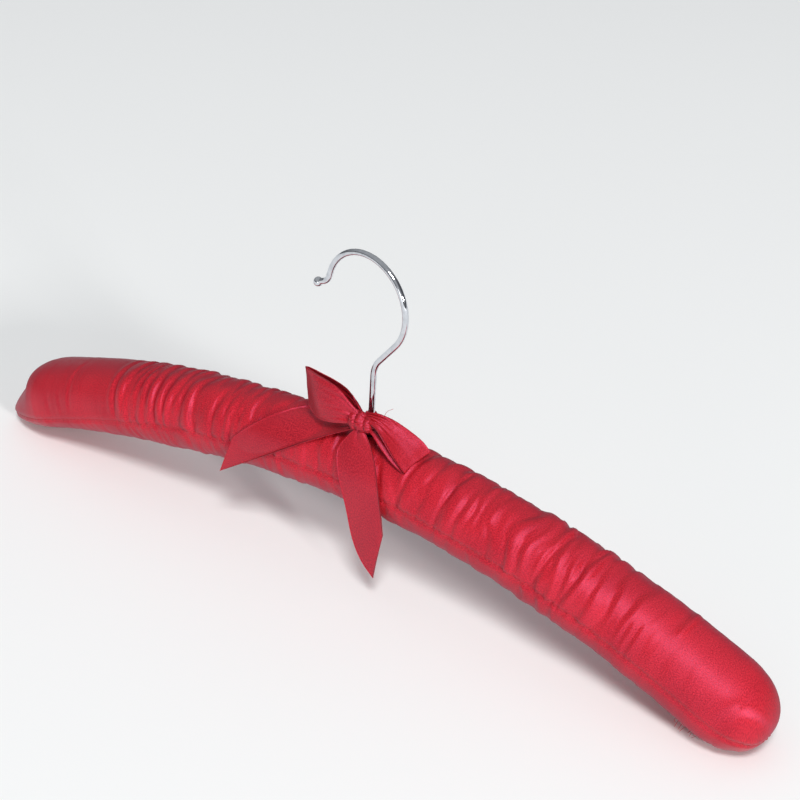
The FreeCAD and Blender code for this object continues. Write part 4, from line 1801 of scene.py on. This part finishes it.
    def tie_knot(self, finish: Material) -> Piece:
        """Makes the knot, a short band drawn tight over the gathered ribbon.

        Args:
            finish: its satin.

        Returns:
            The piece.
        """
        rows, columns = 56, 72
        pole = math.pi / 2 * 0.97
        lats = np.linspace(-pole, pole, rows)
        tilt, around = np.meshgrid(lats, full_turn(columns), indexing="ij")
        half = np.array(self.knot_size) / 2
        noise = SoftNoise(self.knot_seed)
        pinch = 1 - self.knot_pinch * bell(tilt - 0.25, 0.35)
        shape = np.abs(np.cos(tilt)) ** 0.75
        x = half[0] * np.sin(tilt)
        y = half[1] * shape * np.cos(around) * pinch
        z = half[2] * shape * np.sin(around) * pinch
        smooth = np.stack([x, y, z], axis=-1)
        c, s = np.cos(around), np.sin(around)
        waves = np.abs(np.sin(math.pi * (x + 0.5 * s + 1.2) / self.knot_pleat))
        puffs = 1.15 * waves**0.6 - 0.75
        creases = np.abs(noise.at(np.sin(tilt) * 1.1, 2.6 * c, 2.6 * s)) * 3.0
        fine = np.abs(noise.at(np.sin(tilt) * 2.0 + 7, 5.0 * c, 5.0 * s)) * 3.0
        lift = 0.5 * (np.minimum(creases, 1.0) ** 0.7 - 0.6)
        lift = lift + 0.25 * (np.minimum(fine, 1.0) ** 0.7 - 0.6) + puffs
        outward = unit(smooth / half**2)
        points = smooth + outward * (lift * shape)[..., None] + np.array(self.knot_middle)
        flat = np.stack([x, around * 4.0], axis=-1)
        draft = MeshDraft()
        index = draft.add_grid(points, flat, ring=True)
        draft.add_cap(index[-1], points[-1].mean(axis=0), flat[-1, 0])
        draft.add_cap(index[0], points[0].mean(axis=0), flat[0, 0], flip=True)
        piece = draft.build("knot", -self.crown_depth)
        settle(piece, Body.ARMS, "ribbon", finish, "bow_knot")
        return piece

    def wrap_shank(self, finish: Material) -> Piece:
        """Makes the turn of ribbon round the shank, gathered into upright folds.

        Args:
            finish: its satin.

        Returns:
            The piece.
        """
        level, around = np.meshgrid(np.linspace(0.0, 1.0, 30), full_turn(80), indexing="ij")
        c, s = np.cos(around), np.sin(around)
        creases = np.abs(SoftNoise(self.tie_seed).at(level * 1.6, 3.2 * c, 3.2 * s))
        folds = np.minimum(creases * 3, 1.0)
        waist = 1 - 0.14 * bell(level - 0.55, 0.25)
        radius = (self.tie_outside - self.tie_fold + self.tie_fold * folds) * waist
        ends = smooth_step(0.0, 0.12, level) * smooth_step(1.0, 0.88, level)
        least = self.tie_inside + self.tie_wall
        radius = least + (radius - least) * (0.55 + 0.45 * ends)
        z = self.tie_low + (self.tie_high - self.tie_low) * level
        z = z + 0.5 * (folds - 0.5) * (level - 0.5)
        outer = np.stack([radius * c, radius * s, z], axis=-1)
        inner = np.stack([self.tie_inside * c, self.tie_inside * s, z], axis=-1)
        flat = np.stack([around * 3.5, level * 12.0], axis=-1)
        draft = MeshDraft()
        out = draft.add_grid(outer, flat, ring=True, flip=True)
        into = draft.add_grid(inner[:: len(inner) - 1], flat[:: len(inner) - 1], ring=True)
        draft.add_bridge(into[0], out[0], flip=True)
        draft.add_bridge(out[-1], into[-1], flip=True)
        piece = draft.build("shank_wrap", -self.crown_depth)
        settle(piece, Body.ARMS, "ribbon", finish, "bow_neck_tie")
        return piece

    def loose_thread(self, finish: Material) -> Piece:
        """Makes the loose thread end that stands out of the knot."""
        draft = MeshDraft()
        line = spline(self.thread_route, 24)
        add_tube(draft, line, np.linspace(0.11, 0.07, len(line)), 6)
        piece = draft.build("loose_thread", -self.crown_depth)
        settle(piece, Body.ARMS, "thread", finish)
        return piece

    def build(self, ribbon: Material, thread: Material) -> None:
        """Makes the whole bow.

        Args:
            ribbon: the ribbon's finish.
            thread: the thread's finish.
        """
        self.tie_knot(ribbon)
        self.wrap_shank(ribbon)
        for run in self.runs():
            self.lay(run, ribbon)
        self.loose_thread(thread)


# --- what the sleeves hide ------------------------------------------------------------------------


@dataclass(frozen=True)
class HiddenParts:
    """The bar, bush and washer, whose CAD shapes are kept and given a finish."""

    wood: tuple[str, ...] = ("wood_core",)
    steel: tuple[str, ...] = ("core_bush", "hook_washer")

    def dress(self, finishes: dict[str, Material]) -> None:
        """Gives each node its finish.

        Args:
            finishes: the materials by kind.
        """
        for kind, nodes in (("wood", self.wood), ("steel", self.steel)):
            for node in nodes:
                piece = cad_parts[node]
                piece.data.materials.clear()
                piece.data.materials.append(finishes[kind])
                log.info("%s: kept with its %s finish", node, kind)


# --- the studio -----------------------------------------------------------------------------------


@dataclass(frozen=True)
class Lamp:
    """One square soft light: its place and side in metres, and its power in watts."""

    name: str
    place: Point
    size: float
    power: float
    aim: Point = (0.0, 0.0, -0.1)
    tint: Colour = (1.0, 0.985, 0.97)

    def hang(self) -> None:
        """Adds the light to the scene."""
        light = bpy.data.lights.new(self.name, "AREA")
        light.size = self.size
        light.energy = self.power
        light.color = self.tint
        lamp = bpy.data.objects.new(self.name, light)
        lamp.location = self.place
        lamp.rotation_mode = "QUATERNION"
        lamp.rotation_quaternion = (Vector(self.aim) - Vector(self.place)).to_track_quat("-Z", "Y")
        bpy.context.scene.collection.objects.link(lamp)


@dataclass(frozen=True)
class Studio:
    """A plain pale floor, soft light and the camera."""

    floor_drop: float = 0.0006
    floor_size: float = 9.0
    lens: float = 94.457
    yaw: float = math.radians(33.186)
    pitch: float = math.radians(32.0)
    roll: float = math.radians(3.515)
    distance: float = 0.88741
    target: Point = (0.014156, 0.0, -0.059408)
    sensor: float = 36.0
    lamps: tuple[Lamp, ...] = (
        Lamp("key", (1.5, -2.2, 3.9), 1.1, 138.0),
        Lamp("right_soft", (3.9, -1.75, 1.3), 0.55, 112.0),
        Lamp("front_soft", (0.9, -3.0, 0.35), 0.9, 9.0),
    )
    sky: tuple[tuple[float, Colour], ...] = ((0.0, (0.22, 0.22, 0.23)), (0.5, (0.95, 0.97, 1.0)))
    sky_strength: float = 0.44
    dark: Colour = (0.24, 0.24, 0.26)
    dark_side: Point = (0.9, 0.42, 0.1)
    dark_span: tuple[float, float] = (0.45, 0.75)

    def lay_floor(self) -> None:
        """Lays the floor just under the arms' ends."""
        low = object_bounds()[0].z - self.floor_drop
        half = self.floor_size / 2
        mesh = bpy.data.meshes.new("floor")
        signs = ((-1, -1), (1, -1), (1, 1), (-1, 1))
        mesh.from_pydata([(half * x, half * y, low) for x, y in signs], [], [(0, 1, 2, 3)])
        mesh.materials.append(FloorFinish().make())
        floor = bpy.data.objects.new("floor", mesh)
        bpy.context.scene.collection.objects.link(floor)
        floor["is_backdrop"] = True

    def light(self) -> None:
        """Sets the soft light and the pale surroundings, which fall off to a darker side."""
        for lamp in self.lamps:
            lamp.hang()
        world = bpy.data.worlds.new("surroundings")
        world.use_nodes = True
        tree = world.node_tree
        background = tree.nodes["Background"]
        place, split, ramp, lean, share, shade = (
            tree.nodes.new(f"ShaderNode{kind}")
            for kind in ("TexCoord", "SeparateXYZ", "ValToRGB", "VectorMath", "MapRange", "Mix")
        )
        lean.operation = "DOT_PRODUCT"
        lean.inputs[1].default_value = self.dark_side
        share.inputs["From Min"].default_value = self.dark_span[0]
        share.inputs["From Max"].default_value = self.dark_span[1]
        shade.data_type = "RGBA"
        shade.inputs[Bench.MIX_HIGH].default_value = (*self.dark, 1.0)
        for source, target in (
            (place.outputs["Generated"], split.inputs[0]),
            (place.outputs["Generated"], lean.inputs[0]),
            (split.outputs["Z"], ramp.inputs["Fac"]),
            (lean.outputs["Value"], share.inputs["Value"]),
            (share.outputs["Result"], shade.inputs[Bench.MIX_SHARE]),
            (ramp.outputs["Color"], shade.inputs[Bench.MIX_LOW]),
            (shade.outputs[Bench.MIX_COLOUR], background.inputs["Color"]),
        ):
            tree.links.new(source, target)
        for stop, (place_on, colour) in zip(ramp.color_ramp.elements, self.sky):
            stop.color = (*colour, 1.0)
            stop.position = place_on
        background.inputs["Strength"].default_value = self.sky_strength
        bpy.context.scene.world = world

    def set_camera(self) -> None:
        """Makes the camera and the plain colour view."""
        level = math.cos(self.pitch)
        back = Vector(
            (math.sin(self.yaw) * level, -math.cos(self.yaw) * level, math.sin(self.pitch))
        )
        right = Vector((0.0, 0.0, 1.0)).cross(back).normalized()
        up = back.cross(right)
        c, s = math.cos(self.roll), math.sin(self.roll)
        right, up = right * c + up * s, up * c - right * s
        place = Vector(self.target) + back * self.distance
        data = bpy.data.cameras.new("camera")
        data.lens = self.lens
        data.sensor_width = self.sensor
        data.clip_start, data.clip_end = 0.01, 50.0
        camera = bpy.data.objects.new("camera", data)
        rows = [(right[k], up[k], back[k], place[k]) for k in range(3)]
        camera.matrix_world = Matrix((*rows, (0.0, 0.0, 0.0, 1.0)))
        bpy.context.scene.collection.objects.link(camera)
        bpy.context.scene.camera = camera
        bpy.context.scene.view_settings.view_transform = "Standard"

    def build(self) -> None:
        """Sets the whole studio."""
        self.lay_floor()
        self.light()
        self.set_camera()


# --- the whole object -----------------------------------------------------------------------------

LEFT_GATHERS = Gathers(
    seed=7,
    pitch=5.6,
    depth=2.5,
    start=(1.0, 8.0),
    end=(127.0, 134.0),
    wander=0.75,
    under_depth=0.8,
    rest=0.06,
    creases=(
        Crease(132.5, 60, 176, 0.75, 1.3, 0.0, 0.45),
        Crease(161.0, 95, 176, 0.28, 1.1, 1.5),
        Crease(168.0, 150, 180, 0.2, 1.2),
        Crease(176.0, 155, 182, 0.2, 1.6),
    ),
)
RIGHT_GATHERS = Gathers(
    seed=19,
    pitch=7.6,
    depth=1.85,
    start=(1.0, 10.0),
    end=(112.0, 160.0),
    wander=0.9,
    under_depth=0.85,
    rest=0.10,
    creases=(
        Crease(27.0, 80, 176, 0.7, 1.5, -2.0),
        Crease(47.0, 70, 178, 0.9, 1.2, -3.0),
        Crease(63.0, 60, 150, 0.6, 1.8, 2.0),
        Crease(97.0, 85, 178, 0.8, 1.2, -2.0),
        Crease(111.5, 60, 178, 0.85, 1.2, -2.5),
        Crease(139.0, 140, 180, 0.5, 1.0, 1.0),
        Crease(143.0, 135, 180, 0.45, 1.0, 1.0),
        Crease(96.5, 55, 112, -0.8, 2.2),
        Crease(156.5, 50, 112, -0.6, 2.0),
    ),
)


def main() -> None:
    """Builds every piece in order."""
    logging.basicConfig(level=logging.INFO, format="%(name)s %(message)s")
    form = ArmForm()
    crown_depth = 99.385
    satin = SatinFinish().make()
    ribbon = SatinFinish(
        name="ribbon",
        deep=(0.22, 0.004, 0.009),
        light=(0.50, 0.018, 0.026),
        # painted shade at the ribbon's grazing edges
        edge=(0.13, 0.003, 0.010),
        float_pitch=0.22,
        pick_pitch=0.22,
        anisotropy=0.6,
    ).make()
    thread = ThreadFinish().make()
    wadding = WaddingFinish().make()
    sewing = Stitching(crown_depth)
    sleeves = [
        Sleeve(
            Side.LEFT,
            LEFT_GATHERS,
            form,
            crown_depth,
            seam_fall=0.2,
            end_lift=3.8,
            end_nose=7.8,
            nose_fall=0.22,
            end_trim=5.4,
        ),
        Sleeve(Side.RIGHT, RIGHT_GATHERS, form, crown_depth),
    ]
    for sleeve in sleeves:
        sleeve.build(satin)
        Wadding(sleeve).build(wadding)
        sewing.build_seam(sleeve, thread)
    sewing.build_join(form, thread)
    sewing.build_fray(sleeves[1], thread)
    Hook().build(ChromeFinish().make())
    Bow(form, crown_depth, ("sleeve_left", "sleeve_right")).build(ribbon, thread)
    HiddenParts().dress({"wood": WoodFinish().make(), "steel": SteelFinish().make()})
    Studio().build()


if __name__ == "__main__":
    main()
